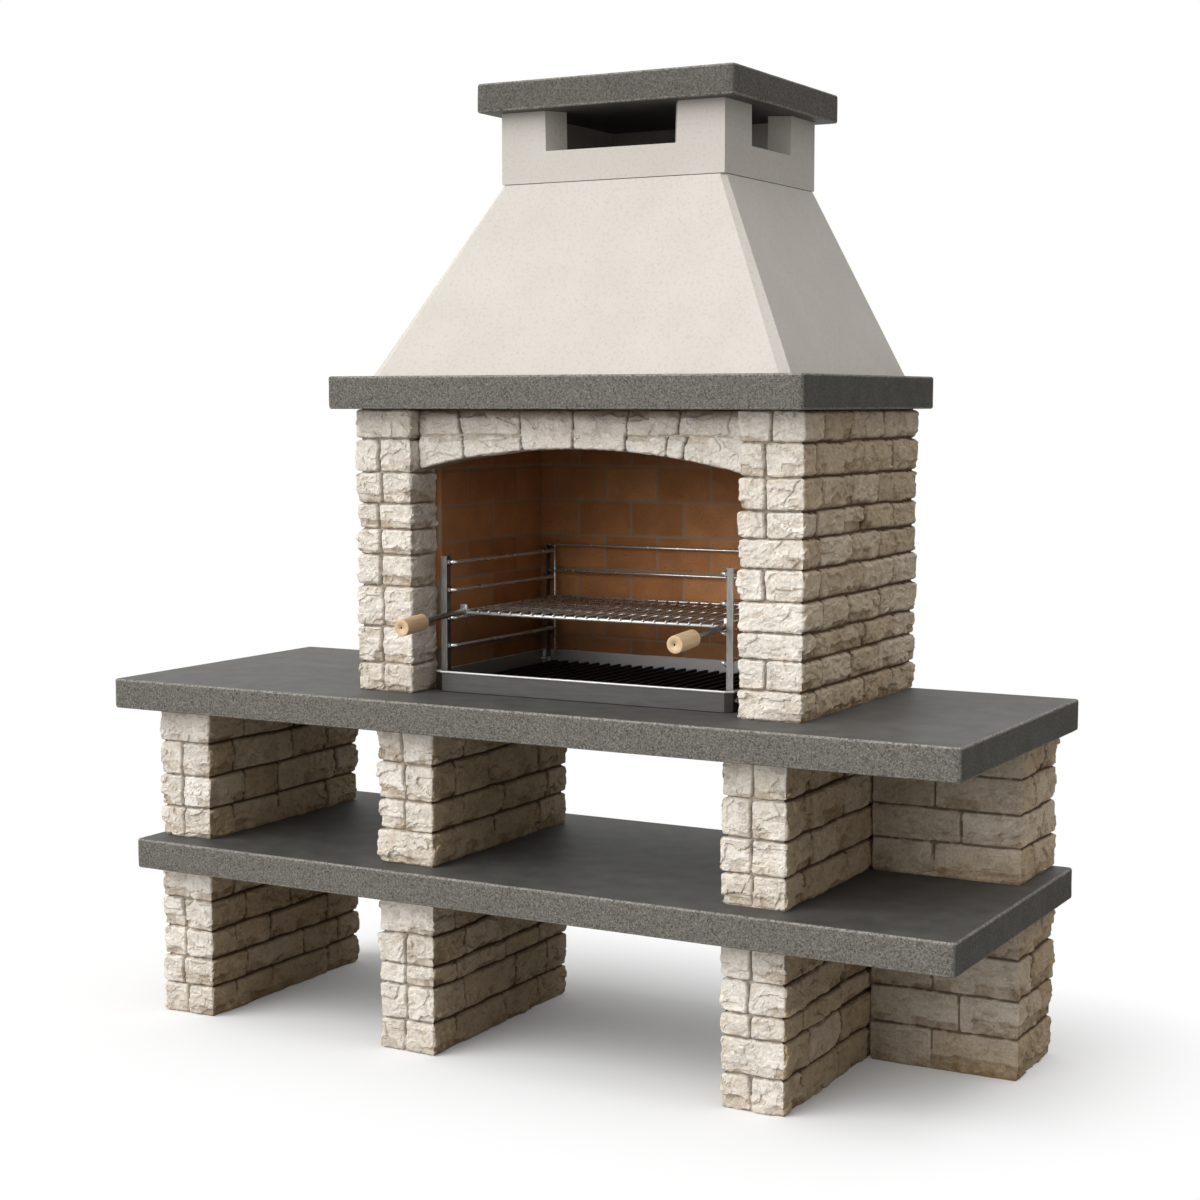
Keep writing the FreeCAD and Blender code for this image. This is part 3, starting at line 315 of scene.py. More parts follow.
def stone_wall(name, corners, joints, perpends, faces, seed, material):
    """A wall of split stones as one closed skin over its plan outline and its height.

    The skin stands on the outline and is pushed in or out along the outward direction by the sum of the joint
    grooves with their rounded stone edges, the chipped corners and the split faces.
    faces gives, side by side, how deep the joints are and half their width, how rough the split is, the grid
    step, how much shade is painted on the stone, how far the stone edges are rounded, and how flush the
    joints are pointed.
    """
    plan, outward, along, side = plan_walk(corners, [face["step"] for face in faces], ARRIS_ROUND)
    groove, gap, rough, painted_shade, soft, flush = (
        np.array([face[word] for face in faces])[side]
        for word in ("groove", "gap", "rough", "painted_shade", "soft", "flush")
    )
    turning = np.array(corners, float)
    ahead = np.roll(turning, -1, axis=0) - turning
    lengths = np.linalg.norm(ahead, axis=1)
    around = lengths.sum()
    turns = np.cumsum(lengths) - lengths
    to_turns = np.abs((along[:, None] - turns + around / 2) % around - around / 2)
    to_corner = to_turns.min(axis=1)
    nearest = to_turns.argmin(axis=1)
    course, below, above = course_rows(joints, ROW_STEP)
    joint_z = np.array(joints, float)
    low_z, high_z = joint_z[course], joint_z[course + 1]
    # Bed joints wander a little along the wall, except at the ground and under the slab
    bed = np.arange(len(joints))[:, None]
    wander = cloud(side_by_side(*plan.T / 80, bed * 3.7), seed) * BED_WANDER
    wander[0] = 0
    wander[-1] = 0
    share = (below / (high_z - low_z))[:, None]
    z = (low_z + below)[:, None] + (1 - share) * wander[course] + share * wander[course + 1]
    # Upright joints of each course, and the number of the stone between two of them
    to_perpend = np.full(z.shape, np.inf)
    stone = np.zeros(z.shape, np.int64)
    for number, places in enumerate(perpends):
        rows = course == number
        lean = cloud(side_by_side(z[rows] / 30, along / 400, number * 5.3), seed + 9) * PERPEND_LEAN
        for place in places:
            away = np.abs((along + lean - place + around / 2) % around - around / 2)
            to_perpend[rows] = np.minimum(to_perpend[rows], away)
            stone[rows] += (along + lean > place)
        stone[rows] %= max(1, len(places))
    base = side_by_side(*plan.T, z)
    ragged = cloud(base / EDGE_GRAIN, seed + 90)
    # Each stone is a rectangle with rounded corners, and falls back to the joint along its edge
    to_bed = np.minimum(below, above)[:, None] - gap + ragged
    short = np.clip(STONE_CORNER - np.stack([to_bed, to_perpend - gap + ragged]), 0, None)
    depth = np.where((course == 0) & (below < above), FOOT_DEPTH, BED_DEPTH)[:, None]
    sunk = rounded(STONE_CORNER - np.hypot(*short), soft) * depth * groove
    # Split faces, held back in the joints, and corners chipped more in some places than in others
    token = side_by_side(course[:, None], stone, np.int64(seed))
    relief, painted_hollow_shade = split_face(base, token, below[:, None], (high_z - low_z)[:, None], seed)
    held = 1 - HELD_BACK * np.clip(sunk / BED_DEPTH, 0, 1)
    chip = np.clip(1.0 + 4.0 * cloud(base / 20, seed + 80), 0, 5) + 5.0 * rounded(to_bed, CHIP_REACH)
    chip = chip * rounded(to_corner, CHIP_REACH)
    out = relief * rough * held - sunk - chip * groove - 0.5
    # Round an outward corner, a joint deeper than the rounding meets the next side's joint on the mitre line
    sideways = np.stack([ahead[:, 1], -ahead[:, 0]], axis=1) / lengths[:, None]
    before = np.roll(sideways, 1, axis=0)
    convex = np.sum(ahead * before, axis=1) < 0
    mitred = convex[nearest] & (-out > np.maximum(to_corner, ARRIS_ROUND))
    on_mitre = turning[nearest] + out[..., None] * (sideways + before)[nearest]
    flat = np.where(mitred[..., None], on_mitre, plan + out[..., None] * outward)
    ring = np.concatenate([flat, z[..., None]], axis=-1)
    joint = mortar_share(sunk / BED_DEPTH / np.maximum(groove, 0.1))
    # Painted shade darkens the foot of the wall, where it meets what it stands on
    painted_shade = painted_shade + FOOT_SHADE * np.clip(1 - (z - joint_z[0]) / FOOT_REACH, 0, 1)
    looks = {
        "tone": chance(token, 11), "joint": joint * (1 - flush), "pointing": joint * flush,
        "painted_hollow_shade": painted_hollow_shade, "painted_shade": painted_shade,
    }
    return closed_ring(name, ring, material, smooth=False, **looks)


# Split cast stone: cement and pale crushed limestone broken to a rough matt face, painted darker and browner
# as shade on its shaded faces, at its foot, in its hollows and under the mantel
split_stone, tree, shader, coords = new_material("split_cast_stone")
tone = point_value(tree, "tone")
joint = point_value(tree, "joint")
painted_hollow_shade = point_value(tree, "painted_hollow_shade")
painted_shade = point_value(tree, "painted_shade")
body = blend(tree, tone, "#e9e1d5", "#f6efe5")
blotch = mapped(tree, noise(tree, coords, 0.035, 4.0), 0.5, 0.75, 0.0, 0.5)
body = blend(tree, blotch, body, "#d2c2aa")
# Painted shade: the hollows of the split face are painted darker
body = blend(tree, painted_hollow_shade, body, "#ae9a81")
layers = add(tree, "Mapping", {"Vector": coords, "Scale": (1.0, 1.0, 1.5)}).outputs[0]
worm = noise(tree, layers, 0.018, 2.0, 2.4)
worm = reckon(tree, "SUBTRACT", worm, 0.5)
worm = reckon(tree, "ABSOLUTE", worm)
crack = mapped(tree, worm, 0.0, 0.04, 1.0, 0.0)
patch = mapped(tree, noise(tree, coords, 0.05, 1.0), 0.42, 0.62, 0.05, 0.34)
crack = reckon(tree, "MULTIPLY", crack, patch)
body = blend(tree, crack, body, "#8d7c66")
grit = mapped(tree, noise(tree, coords, 0.005, 3.0), 0.3, 0.7, 0.86, 1.08)
body = product(tree, body, grit)
body = blend(tree, joint, body, "#6f6152")
pointing = point_value(tree, "pointing")
body = blend(tree, pointing, body, "#ebe2d4")
# Painted shade: a darker, browner copy of the stone, mixed in by the painted shade value
shaded_body = product(tree, body, (0.68, 0.57, 0.43))
depth = mapped(tree, tone, 0.0, 1.0, 0.68, 0.5)
depth = reckon(tree, "MULTIPLY", depth, painted_shade)
body = blend(tree, depth, body, shaded_body)
tree.links.new(body, shader.inputs["Base Color"])
rub = noise(tree, coords, 0.007, 5.0)
rub = reckon(tree, "MULTIPLY_ADD", crack, -0.6, rub)
roughen(tree, shader, 0.9, 0.003, rub)
shader.inputs["Roughness"].default_value = 0.92
shader.inputs["Specular IOR Level"].default_value = 0.25

QUOIN_LONG = 128
QUOIN_SHORT = 90
LEVELS_APART = 0.2


def node_levels(node):
    """The bed joint heights of a wall, read from its blocks: each block has four levels, foot to top."""
    heights = np.sort([corner.co.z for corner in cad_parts[node].data.vertices]) * 1000
    levels = heights[np.diff(heights, prepend=-np.inf) > LEVELS_APART].round(1)
    feet, tops = levels[0::4], levels[3::4]
    gap = feet[1] - tops[0]
    return [feet[0], *((feet[1:] + tops[:-1]) / 2), tops[-1] + gap]


def flat_box(node):
    """The lowest and highest corner of a CAD node, in millimetres."""
    low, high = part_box(node)
    return np.array(low) * 1000, np.array(high) * 1000


def leg_perpends(front_shares, wide, deep, seed):
    """Upright joints course by course, as distances round the leg: front, right side, back, left side."""
    places = []
    for course, share in enumerate(front_shares):
        first, last = (QUOIN_LONG, QUOIN_SHORT) if course % 2 else (QUOIN_SHORT, QUOIN_LONG)
        spread = 0.36 + 0.28 * chance(np.array([course, seed, 1]), 2)
        middle = first + (deep - first - last) * spread
        right = [wide + first, wide + middle, wide + deep - last]
        left_start = 2 * wide + deep
        left = [left_start + last, left_start + deep - middle, left_start + deep - first]
        front = [wide * share] if share else []
        places.append(sorted(front + right + [wide * 1.5 + deep] + left))
    return places


def block_corners(low, high):
    """The plan corners of a plain wall, anticlockwise from the front left."""
    return [(low[0], low[1]), (high[0], low[1]), (high[0], high[1]), (low[0], high[1])]


# The painted shade of each face: most on the shaded sides, less on the rear and the return front, least on
# the fronts
FRONT = {"groove": 1, "gap": 1.4, "rough": 0.95, "step": FRONT_STEP, "painted_shade": 0, "soft": 4.5, "flush": 0.25}
INNER = {**FRONT, "groove": 0.9, "step": STONE_STEP, "painted_shade": 0.1}
SIDE = {"groove": 0.9, "gap": 3.0, "rough": 1.2, "step": STONE_STEP, "painted_shade": 1.35, "soft": 6, "flush": 0}
LOW_SIDE = {**SIDE, "groove": 0.8, "gap": 2.4, "painted_shade": 1.6, "soft": 5}
REAR = {"groove": 0.8, "gap": 1.6, "rough": 0.8, "step": STONE_STEP, "painted_shade": 0.4, "soft": 6, "flush": 0.2}
POINTED = {"groove": 0.5, "gap": 1.6, "rough": 0.6, "step": STONE_STEP, "painted_shade": 1.0, "soft": 4, "flush": 0.1}
HIDDEN = {"groove": 0.0, "gap": 1.0, "rough": 0.0, "step": HIDDEN_STEP, "painted_shade": 0.0, "soft": 5, "flush": 0}
LEG_FACES = (FRONT, LOW_SIDE, REAR, LOW_SIDE)
RETURN_FACES = (POINTED, LOW_SIDE, REAR, HIDDEN)


def lay_tier(tier, leg_shares, seed):
    """The three legs and the return wall of one tier, each a skin of stones in the place of its blocks."""
    for side, shares in leg_shares.items():
        node = f"{tier}_{side}_leg"
        low, high = flat_box(node)
        seed += 100
        perpends = leg_perpends(shares, high[0] - low[0], high[1] - low[1], seed)
        corners = block_corners(low, high)
        leg = stone_wall(f"{node}_stones", corners, node_levels(node), perpends, LEG_FACES, seed, split_stone)
        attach(leg, "masonry")
        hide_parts(node, f"{tier}_tier_mortar")
    node = f"{tier}_return_wall"
    low, high = flat_box(node)
    long, deep = high[:2] - low[:2]
    joints = node_levels(node)
    perpends = []
    for course in range(len(joints) - 1):
        share = (0.42, 0.6)[course % 2]
        quoin = (0.36, 0.62)[course % 2]
        perpends.append([long * share, long + deep * quoin, long * 1.5 + deep])
    corners = block_corners(low, high)
    wall = stone_wall(f"{node}_stones", corners, joints, perpends, RETURN_FACES, seed + 77, split_stone)
    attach(wall, "masonry")
    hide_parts(node, f"{tier}_tier_mortar")


lay_tier(
    "lower",
    {
        "left": (0.48, 0.40, 0.45, 0.42, 0),
        "middle": (0.45, 0.50, 0.47, 0.48, 0),
        "right": (0.48, 0, 0.47, 0.43, 0.47),
    },
    seed=1000,
)

# Shelf slab: dark grey cast concrete with a trowelled top, its edges left with the grain of the mould
# and worn arrises, its ends painted darker as shade. It lies on the lower tier.
SLAB_STEP = 7
SLAB_ROUND = 5
SLAB_CORNER = 9
LONG_GRAIN = 1.0
# Less grain on the slab ends paints them darker as shade
END_GRAIN_AND_SHADE = 0.3


def slab_profile(thick, radius):
    """Half round edges above and below a straight face: how far in from it, and how high, bottom to top."""
    turn = np.radians(np.linspace(0, 90, 5))
    low_in, low_up = radius * (1 - np.sin(turn)), radius * (1 - np.cos(turn))
    face = np.linspace(radius, thick - radius, 9)[1:-1]
    inset = np.concatenate([low_in, np.zeros(len(face)), low_in[::-1]])
    level = np.concatenate([low_up, face, thick - low_up[::-1]])
    return inset, level


def arris(rows, columns):
    """One along the rounded edges at the top and bottom of a slab's profile, nothing elsewhere."""
    along = np.zeros(rows)
    along[[1, 2, 3, -4, -3, -2]] = 1
    return np.broadcast_to(along[:, None], (rows, columns))


def grained(rows, side, long_grain, end_grain):
    """How much of the mould's grain shows on the long edges and on the ends; none shows on the flats. Less
    shows on the ends, which paints them darker as shade.
    """
    along = np.where(side % 2 == 0, long_grain, end_grain)
    upright = np.ones(rows)
    upright[[0, 1, -2, -1]] = 0
    return upright[:, None] * along


def slab_rim(low, high, seed):
    """The rim of a slab: the edge profile carried round the plan, uneven by a fraction of a millimetre.

    Gives the plan, the side that each of its points lies on, and the rim row by row.
    """
    plan, outward, _, side = plan_walk(block_corners(low, high), [SLAB_STEP] * 4, SLAB_CORNER)
    inset, level = slab_profile(high[2] - low[2], SLAB_ROUND)
    base = side_by_side(*plan.T, (low[2] + level)[:, None])
    worn = 0.5 * cloud(base / 16, seed) + 0.35 * cloud(base / 55, seed + 1)
    worn[[0, -1]] = 0
    sunk = inset[:, None] - worn + 0.5
    return plan, side, np.concatenate([plan - sunk[..., None] * outward, base[..., 2:]], axis=-1)


def cast_slab(name, node, material, seed, long_grain=LONG_GRAIN, end_grain=END_GRAIN_AND_SHADE):
    """A slab: its rim, closed flat above and below."""
    _, side, rim = slab_rim(*flat_box(node), seed)
    edge = grained(len(rim), side, long_grain, end_grain)
    return closed_ring(name, rim, material, edge=edge, arris=arris(*edge.shape))


# Dark cast concrete: black-pigmented cement with pale and dark sand, trowelled on top, granular on its edges
dark_concrete, tree, shader, coords = new_material("dark_cast_concrete")
edge = point_value(tree, "edge")
mottle = mapped(tree, noise(tree, coords, 0.06, 6.0), 0.3, 0.7)
flat = blend(tree, mottle, "#454441", "#575552")
sand = mapped(tree, noise(tree, coords, 0.0038, 3.0, 1.2), 0.36, 0.64)
fine = mapped(tree, sand, 0.0, 1.0, 0.88, 1.12)
flat = product(tree, flat, fine)
rough_face = blend(tree, sand, "#504e4a", "#88847c")
speck = add(tree, "TexVoronoi", {"Vector": coords, "Scale": 1 / 0.012}).outputs["Distance"]
speck = mapped(tree, speck, 0.14, 0.06)
rough_face = blend(tree, speck, rough_face, "#a39d94")
# The edge value also paints the slab ends darker as shade
body = blend(tree, edge, flat, rough_face)
worn = point_value(tree, "arris")
worn = reckon(tree, "MULTIPLY", worn, sand)
body = blend(tree, worn, body, "#a5a098")
tree.links.new(body, shader.inputs["Base Color"])
polish = mapped(tree, edge, 0.0, END_GRAIN_AND_SHADE, 0.58, 0.85)
tree.links.new(polish, shader.inputs["Roughness"])
shine = mapped(tree, edge, 0.0, END_GRAIN_AND_SHADE, 0.28, 0.1)
tree.links.new(shine, shader.inputs["Specular IOR Level"])
pits = mapped(tree, edge, 0.0, 1.0, 0.08, 0.5)
roughen(tree, shader, pits, 0.0015, sand)

shelf = cast_slab("shelf_slab_cast", "shelf_slab", dark_concrete, 300)
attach(shelf, "masonry")
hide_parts("shelf_slab")

# Upper legs and return wall: the same stone and bond as the lower tier, four courses high.
# They stand on the shelf slab and carry the worktop.
lay_tier(
    "upper",
    {
        "left": (0.46, 0.45, 0.45, 0),
        "middle": (0, 0.48, 0.5, 0.45),
        "right": (0.48, 0.46, 0.46, 0.47),
    },
    seed=2000,
)

# Worktop slab: the same dark concrete as the shelf, overhanging the legs all round.
worktop = cast_slab("worktop_slab_cast", "worktop_slab", dark_concrete, 320)
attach(worktop, "masonry")
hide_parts("worktop_slab")

# Firebox walls: nine or ten courses of the same split stone, with a wide pier stone at the front of each.
# The thinner wall behind the pier leaves room for the firebricks; the back wall stands between the sides.
PIER_DEPTH = 100
JOINT_SHIFT = 24


def side_perpends(courses, deep, start, backwards, seed):
    """Upright joints on the long outer side of a firebox wall: the quoin, then two or three stones."""
    places = []
    for course in range(courses):
        rest = deep - PIER_DEPTH
        first = PIER_DEPTH * (0.75, 1.0)[course % 2]
        second = PIER_DEPTH + rest * (0.42, 0.6)[course % 2]
        third = PIER_DEPTH + rest * (0.74, 0.28)[course % 2]
        shift = JOINT_SHIFT * (chance(side_by_side(np.arange(3), course, seed), 3) - 0.5)
        runs = np.array([first, second, third]) + shift
        places.append(list(start + (deep - runs if backwards else runs)))
    return places


pier_shares = {
    "left": (0.46, 0.44, 0.48, 0.42, 0.44, 0.40, 0.46, 0.41, 0),
    "right": (0, 0.42, 0, 0, 0.4, 0, 0.42, 0.42, 0.4, 0.5),
}
for side, shares in pier_shares.items():
    node = f"firebox_{side}_wall"
    low, high = flat_box(node)
    brick_low, brick_high = flat_box(f"firebrick_{side}")
    joints = node_levels(node)
    step_y = low[1] + PIER_DEPTH
    wide, deep = high[:2] - low[:2]
    if side == "left":
        inner = brick_low[0]
        corners = [
            (low[0], low[1]), (high[0], low[1]), (high[0], step_y), (inner, step_y),
            (inner, high[1]), (low[0], high[1]),
        ]
        faces = (FRONT, INNER, HIDDEN, HIDDEN, REAR, SIDE)
        start = 2 * wide + deep
        perpends = side_perpends(len(shares), deep, start, True, 41)
    else:
        inner = brick_high[0]
        corners = [
            (low[0], low[1]), (high[0], low[1]), (high[0], high[1]), (inner, high[1]),
            (inner, step_y), (low[0], step_y),
        ]
        faces = (FRONT, SIDE, REAR, HIDDEN, HIDDEN, INNER)
        perpends = side_perpends(len(shares), deep, wide, False, 42)
    perpends = [sorted(row + ([wide * share] if share else [])) for row, share in zip(perpends, shares)]
    wall = stone_wall(f"{node}_stones", corners, joints, perpends, faces, 3000 + len(joints), split_stone)
    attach(wall, "masonry")
    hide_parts(node, "firebox_mortar")

low, high = flat_box("firebox_back_wall")
wide, deep = high[:2] - low[:2]
joints = node_levels("firebox_back_wall")
perpends = []
for course in range(len(joints) - 1):
    cuts = np.array([0.16, 0.45, 0.78]) if course % 2 else np.array([0.24, 0.55, 0.86])
    perpends.append(list(wide + deep + wide * cuts))
back_faces = (HIDDEN, HIDDEN, REAR, HIDDEN)
wall = stone_wall(
    "firebox_back_wall_stones", block_corners(low, high), joints, perpends, back_faces, 3300, split_stone
)
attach(wall, "masonry")
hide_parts("firebox_back_wall", "firebox_mortar")

# Arch lintel: seven arch stones of the same stone between the piers, a course of flat cap stones over the
# outer ones. Its underside is a low arc and its face stands a little behind the piers.
ARCH_RISE = 46
ARCH_SHARES = 77
ARCH_JOINTS = (12, 26, 38, 50, 59, 63)
CAP_JOINTS = (12, 26, 50, 61)
CAPPED_STONES = (0, 1, 4, 5, 6)
FIRST_CAP = 20
CAP_HEIGHT = 54
ARCH_LEAN = 0.24
ARCH_GAP = 0.9
WEDGE_ROUND = 4
WEDGE_DEPTH = 8
MANTEL_SHADOW_REACH = 24


def leaning_joints(x, z, shares, low, high):
    """The distance to the nearest upright joint of the arch, and how many joints lie to the left.

    Each joint stands at its share of the span and leans outwards with height, more towards the ends.
    """
    nearest = np.full(x.shape, np.inf)
    passed = np.zeros(x.shape, np.int64)
    for share in shares:
        lean = ARCH_LEAN * (2 * share / ARCH_SHARES - 1)
        gap = x - low[0] - share / ARCH_SHARES * (high[0] - low[0]) - lean * (z - low[2])
        nearest = np.minimum(nearest, np.abs(gap))
        passed += gap > 0
    return nearest, passed


def arch_lintel(name, node, seed, material):
    """The lintel: a section of face, top, back and soffit carried along the span over a circular arc."""
    low, high = flat_box(node)
    span = high[0] - low[0]
    centre = (low[0] + high[0]) / 2
    radius = (span ** 2 / 4 + ARCH_RISE ** 2) / (2 * ARCH_RISE)
    columns = round(span / FRONT_STEP)
    x = np.linspace(low[0], high[0], columns)
    crown = low[2] + ARCH_RISE - radius + np.sqrt(radius ** 2 - (x - centre) ** 2)
    rise = np.concatenate([[0, 0.012, 0.03, 0.055, 0.09], np.linspace(0.12, 0.9, 36), [0.93, 0.96, 0.98, 1]])
    face_z = crown + rise[:, None] * (high[2] - crown)
    face_x = np.broadcast_to(x, face_z.shape)
    base = side_by_side(x, low[1], face_z)
    bent_x = face_x + cloud(base / 30, seed) * 2
    # Under and over the level joint of the cap stones the upright joints differ
    to_joint, stone = leaning_joints(bent_x, face_z, ARCH_JOINTS, low, high)
    to_cap_joint, cap = leaning_joints(bent_x, face_z, CAP_JOINTS, low, high)
    capped = np.isin(stone, CAPPED_STONES)
    cap_z = high[2] - CAP_HEIGHT + cloud(base / 70, seed + 1) * 3
    to_level = np.where(capped, np.abs(face_z - cap_z), np.inf)
    in_cap = capped & (face_z > cap_z)
    to_joint = np.where(in_cap, to_cap_joint, to_joint)
    stone = np.where(in_cap, cap + FIRST_CAP, stone)
    stone_top = np.where(capped & ~in_cap, cap_z, high[2])
    stone_foot = np.where(in_cap, cap_z, crown)
    # Each stone has rounded corners, and falls back to the joint along its edge
    to_side = np.minimum(to_joint, np.minimum(face_x - low[0], high[0] - face_x))
    to_flat = np.minimum(to_level, np.minimum(face_z - crown, high[2] - face_z))
    ragged = cloud(base / EDGE_GRAIN, seed + 90)
    short = np.clip(STONE_CORNER - np.stack([to_flat, to_side]) + ARCH_GAP - ragged, 0, None)
    sunk = rounded(STONE_CORNER - np.hypot(*short), WEDGE_ROUND) * WEDGE_DEPTH
    token = side_by_side(stone, 0, seed)
    held = 1 - HELD_BACK * np.clip(sunk / WEDGE_DEPTH, 0, 1)
    relief, painted_hollow_shade = split_face(base, token, stone_top - face_z, stone_top - stone_foot, seed)
    face_y = low[1] - relief * held + sunk + 0.5
    face = np.stack([face_x, face_y, face_z], axis=-1)
    # The soffit runs back from the foot of the face, with the joints as shallow grooves
    depth = np.linspace(0, 1, 12)[1:, None]
    groove = rounded(to_joint[0] - FRONT["gap"], 7) * 4 * np.sin(np.pi * np.clip(depth, 0.02, 0.98))
    soffit_y = face_y[0] + depth * (high[1] - face_y[0])
    soffit_z = crown + groove + 0.6 * cloud(side_by_side(x, soffit_y, crown) / 14, seed)
    soffit = side_by_side(x, soffit_y, soffit_z)
    back = side_by_side(x, high[1], high[2])[None]
    ring = np.concatenate([face, back, soffit[::-1]])
    rows = len(ring)
    quads = grid_quads(rows, columns, round_columns=False, round_rows=True)
    first = np.arange(rows) * columns
    lids = (first[::-1], first + columns - 1)
    joint = mortar_share(sunk / WEDGE_DEPTH)
    # The level joints are pointed pale; a painted shadow of the mantel darkens the top of the stones under it
    pale = np.where(to_level < to_side, 0.7, 0.05)
    mantel_shadow = np.clip(1 - (high[2] - face_z) / (MANTEL_SHADOW_REACH + 10 * cloud(base / 40, seed + 95)), 0, 1)
    # The painted mantel shadow also goes into the dark joint colour; the arch stones keep to the lighter
    # tones and take less painted hollow shade, painted light that makes up for the mantel's shade
    attributes = {
        "tone": 0.6 + 0.4 * chance(token, 11), "painted_hollow_shade": 0.7 * painted_hollow_shade, "painted_shade": mantel_shadow,
        "joint": np.maximum(joint * (1 - pale), mantel_shadow), "pointing": joint * pale * (1 - mantel_shadow),
    }
    extra = rows - len(face)
    rings = {
        word: np.concatenate([part, np.repeat(part[:1], extra, axis=0)]) for word, part in attributes.items()
    }
    return new_piece(name, ring.reshape(-1, 3), quads, lids, material, smooth=False, **rings)


lintel = arch_lintel("arch_lintel_stones", "arch_lintel", 3500, split_stone)
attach(lintel, "masonry")
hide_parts("arch_lintel")

# Firebrick lining: pressed terracotta bricks in running bond inside the back and sides of the firebox,
# set in grey refractory mortar that is struck a little behind the brick faces.
BRICK_STEP = 3.4
BRICK_COURSES = (79, 79, 79, 79, 79, 79, 79, 53)
BRICK_JOINT = 6
BRICK_SUNK = 2
GRID_SHADOW_LEVEL = 185
GRID_SHADOW_FADE = 110
TOP_SOOT_AND_SHADE = 0.7


def brick_panel(name, node, run, facing, count, seed, material):
    """A panel of bricks: its face a grid of length and height, sunk along the joints, closed by a flat back.

    run is the axis along the panel, facing is the way its face looks along the other axis.
    """
    low, high = flat_box(node)
    bottom, top = low[2] - BRICK_JOINT / 2, high[2] + BRICK_JOINT / 2
    start, end = low[run] - BRICK_JOINT / 2, high[run] + BRICK_JOINT / 2
    across = 1 - run
    front, rear = (high[across], low[across]) if facing > 0 else (low[across], high[across])
    columns = round((end - start) / BRICK_STEP)
    rows = round((top - bottom) / BRICK_STEP)
    length, z = np.meshgrid(np.linspace(start, end, columns), np.linspace(bottom, top, rows))
    beds = bottom + (top - bottom) * np.cumsum((0,) + BRICK_COURSES) / sum(BRICK_COURSES)
    course = np.clip(np.searchsorted(beds, z, side="right") - 1, 0, len(BRICK_COURSES) - 1)
    to_bed = np.minimum(z - beds[course], beds[course + 1] - z)
    share = (length - start) / (end - start) * count + np.where(course % 2, 0.5, 0)
    to_perpend = np.abs(share - np.round(share)) * (end - start) / count
    brick = np.floor(share).astype(np.int64)
    base = side_by_side(length, z, 10.0 * seed)
    wobble = cloud(base / 35, seed) * 0.8
    gap = np.minimum(to_bed, to_perpend) + wobble - BRICK_JOINT / 3
    mortar = np.clip(0.5 - gap / 2, 0, 1)
    token = side_by_side(course, brick, seed)
    sunk = BRICK_SUNK * np.maximum(mortar, rounded(gap, 4) * 0.8)
    rub = 0.35 * cloud(base / 9, seed + 1) + 0.6 * (chance(token, 7) - 0.5)
    out = (rub * (1 - mortar) - sunk) * facing
    face = np.empty((rows, columns, 3))
    face[..., run], face[..., across], face[..., 2] = length, front + out, z
    back = face.copy()
    back[..., across] = rear
    # The rim of the panel: its own edge points, joined to the same points moved to the back
    inner = np.arange(rows * columns).reshape(rows, columns)
    rim = np.concatenate([inner[0], inner[1:, -1], inner[-1, -2::-1], inner[-2:0:-1, 0]])
    outer = np.arange(len(rim)) + rows * columns
    quads = grid_quads(rows, columns, round_columns=False)
    skirt = np.stack([rim, outer, np.roll(outer, -1), np.roll(rim, -1)], axis=-1)
    points = np.concatenate([face.reshape(-1, 3), back.reshape(-1, 3)[rim]])
    lid = outer[::-1]
    if facing * (1 if run == 1 else -1) < 0:
        quads, skirt, lid = quads[:, ::-1], skirt[:, ::-1], lid[::-1]
    tone, mask = (np.append(part, np.zeros(len(rim))) for part in (chance(token, 8), mortar))
    # Soot and painted shade darken the bricks towards the top; a painted shadow of the grid darkens them
    # towards the tray
    top_soot_and_shade = TOP_SOOT_AND_SHADE * np.clip(1.6 * (points[:, 2] - bottom) / (top - bottom) - 0.6, 0, 1)
    soot = np.maximum(top_soot_and_shade, np.clip((GRID_SHADOW_LEVEL - points[:, 2] + bottom) / GRID_SHADOW_FADE, 0, 1))
    faces = np.concatenate([quads, skirt])
    return new_piece(name, points, faces, (lid,), material, tone=tone, joint=mask, soot=soot)


# Pressed firebrick: red-brown fireclay with dark grit, matt, in grey mortar; darkened by soot and painted
# shade towards the top, and by a painted shadow of the grid towards the tray
firebrick, tree, shader, coords = new_material("pressed_firebrick")
tone = point_value(tree, "tone")
joint = point_value(tree, "joint")
clay = blend(tree, tone, "#b87c4e", "#d19664")
fire = mapped(tree, noise(tree, coords, 0.06, 4.0), 0.35, 0.7, 0.85, 1.08)
clay = product(tree, clay, fire)
grit = noise(tree, coords, 0.003, 2.0)
spots = mapped(tree, grit, 0.62, 0.72, 0.0, 0.6)
clay = blend(tree, spots, clay, "#6d3f20")
clay = blend(tree, joint, clay, "#a59680")
# Soot, painted shade and the painted shadow of the grid darken the clay
soot = point_value(tree, "soot")
soot = mapped(tree, soot, 0.0, 1.0, 1.0, 0.45)
clay = product(tree, clay, soot)
tree.links.new(clay, shader.inputs["Base Color"])
roughen(tree, shader, 0.35, 0.0008, grit)
shader.inputs["Roughness"].default_value = 0.9
shader.inputs["Specular IOR Level"].default_value = 0.25

panels = (("left", 1, 1, 2), ("right", 1, -1, 2), ("back", 0, -1, 6))
for number, (side, run, facing, count) in enumerate(panels):
    node = f"firebrick_{side}"
    panel = brick_panel(f"{node}_bricks", node, run, facing, count, 90 + number, firebrick)
    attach(panel, "masonry")
    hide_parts(node, "refractory_mortar")

# Mantel slab: dark concrete like the worktop, with the smoke opening cast in it, bedded on the firebox walls.
MANTEL_INSETS = (211, 200, 111, 200)


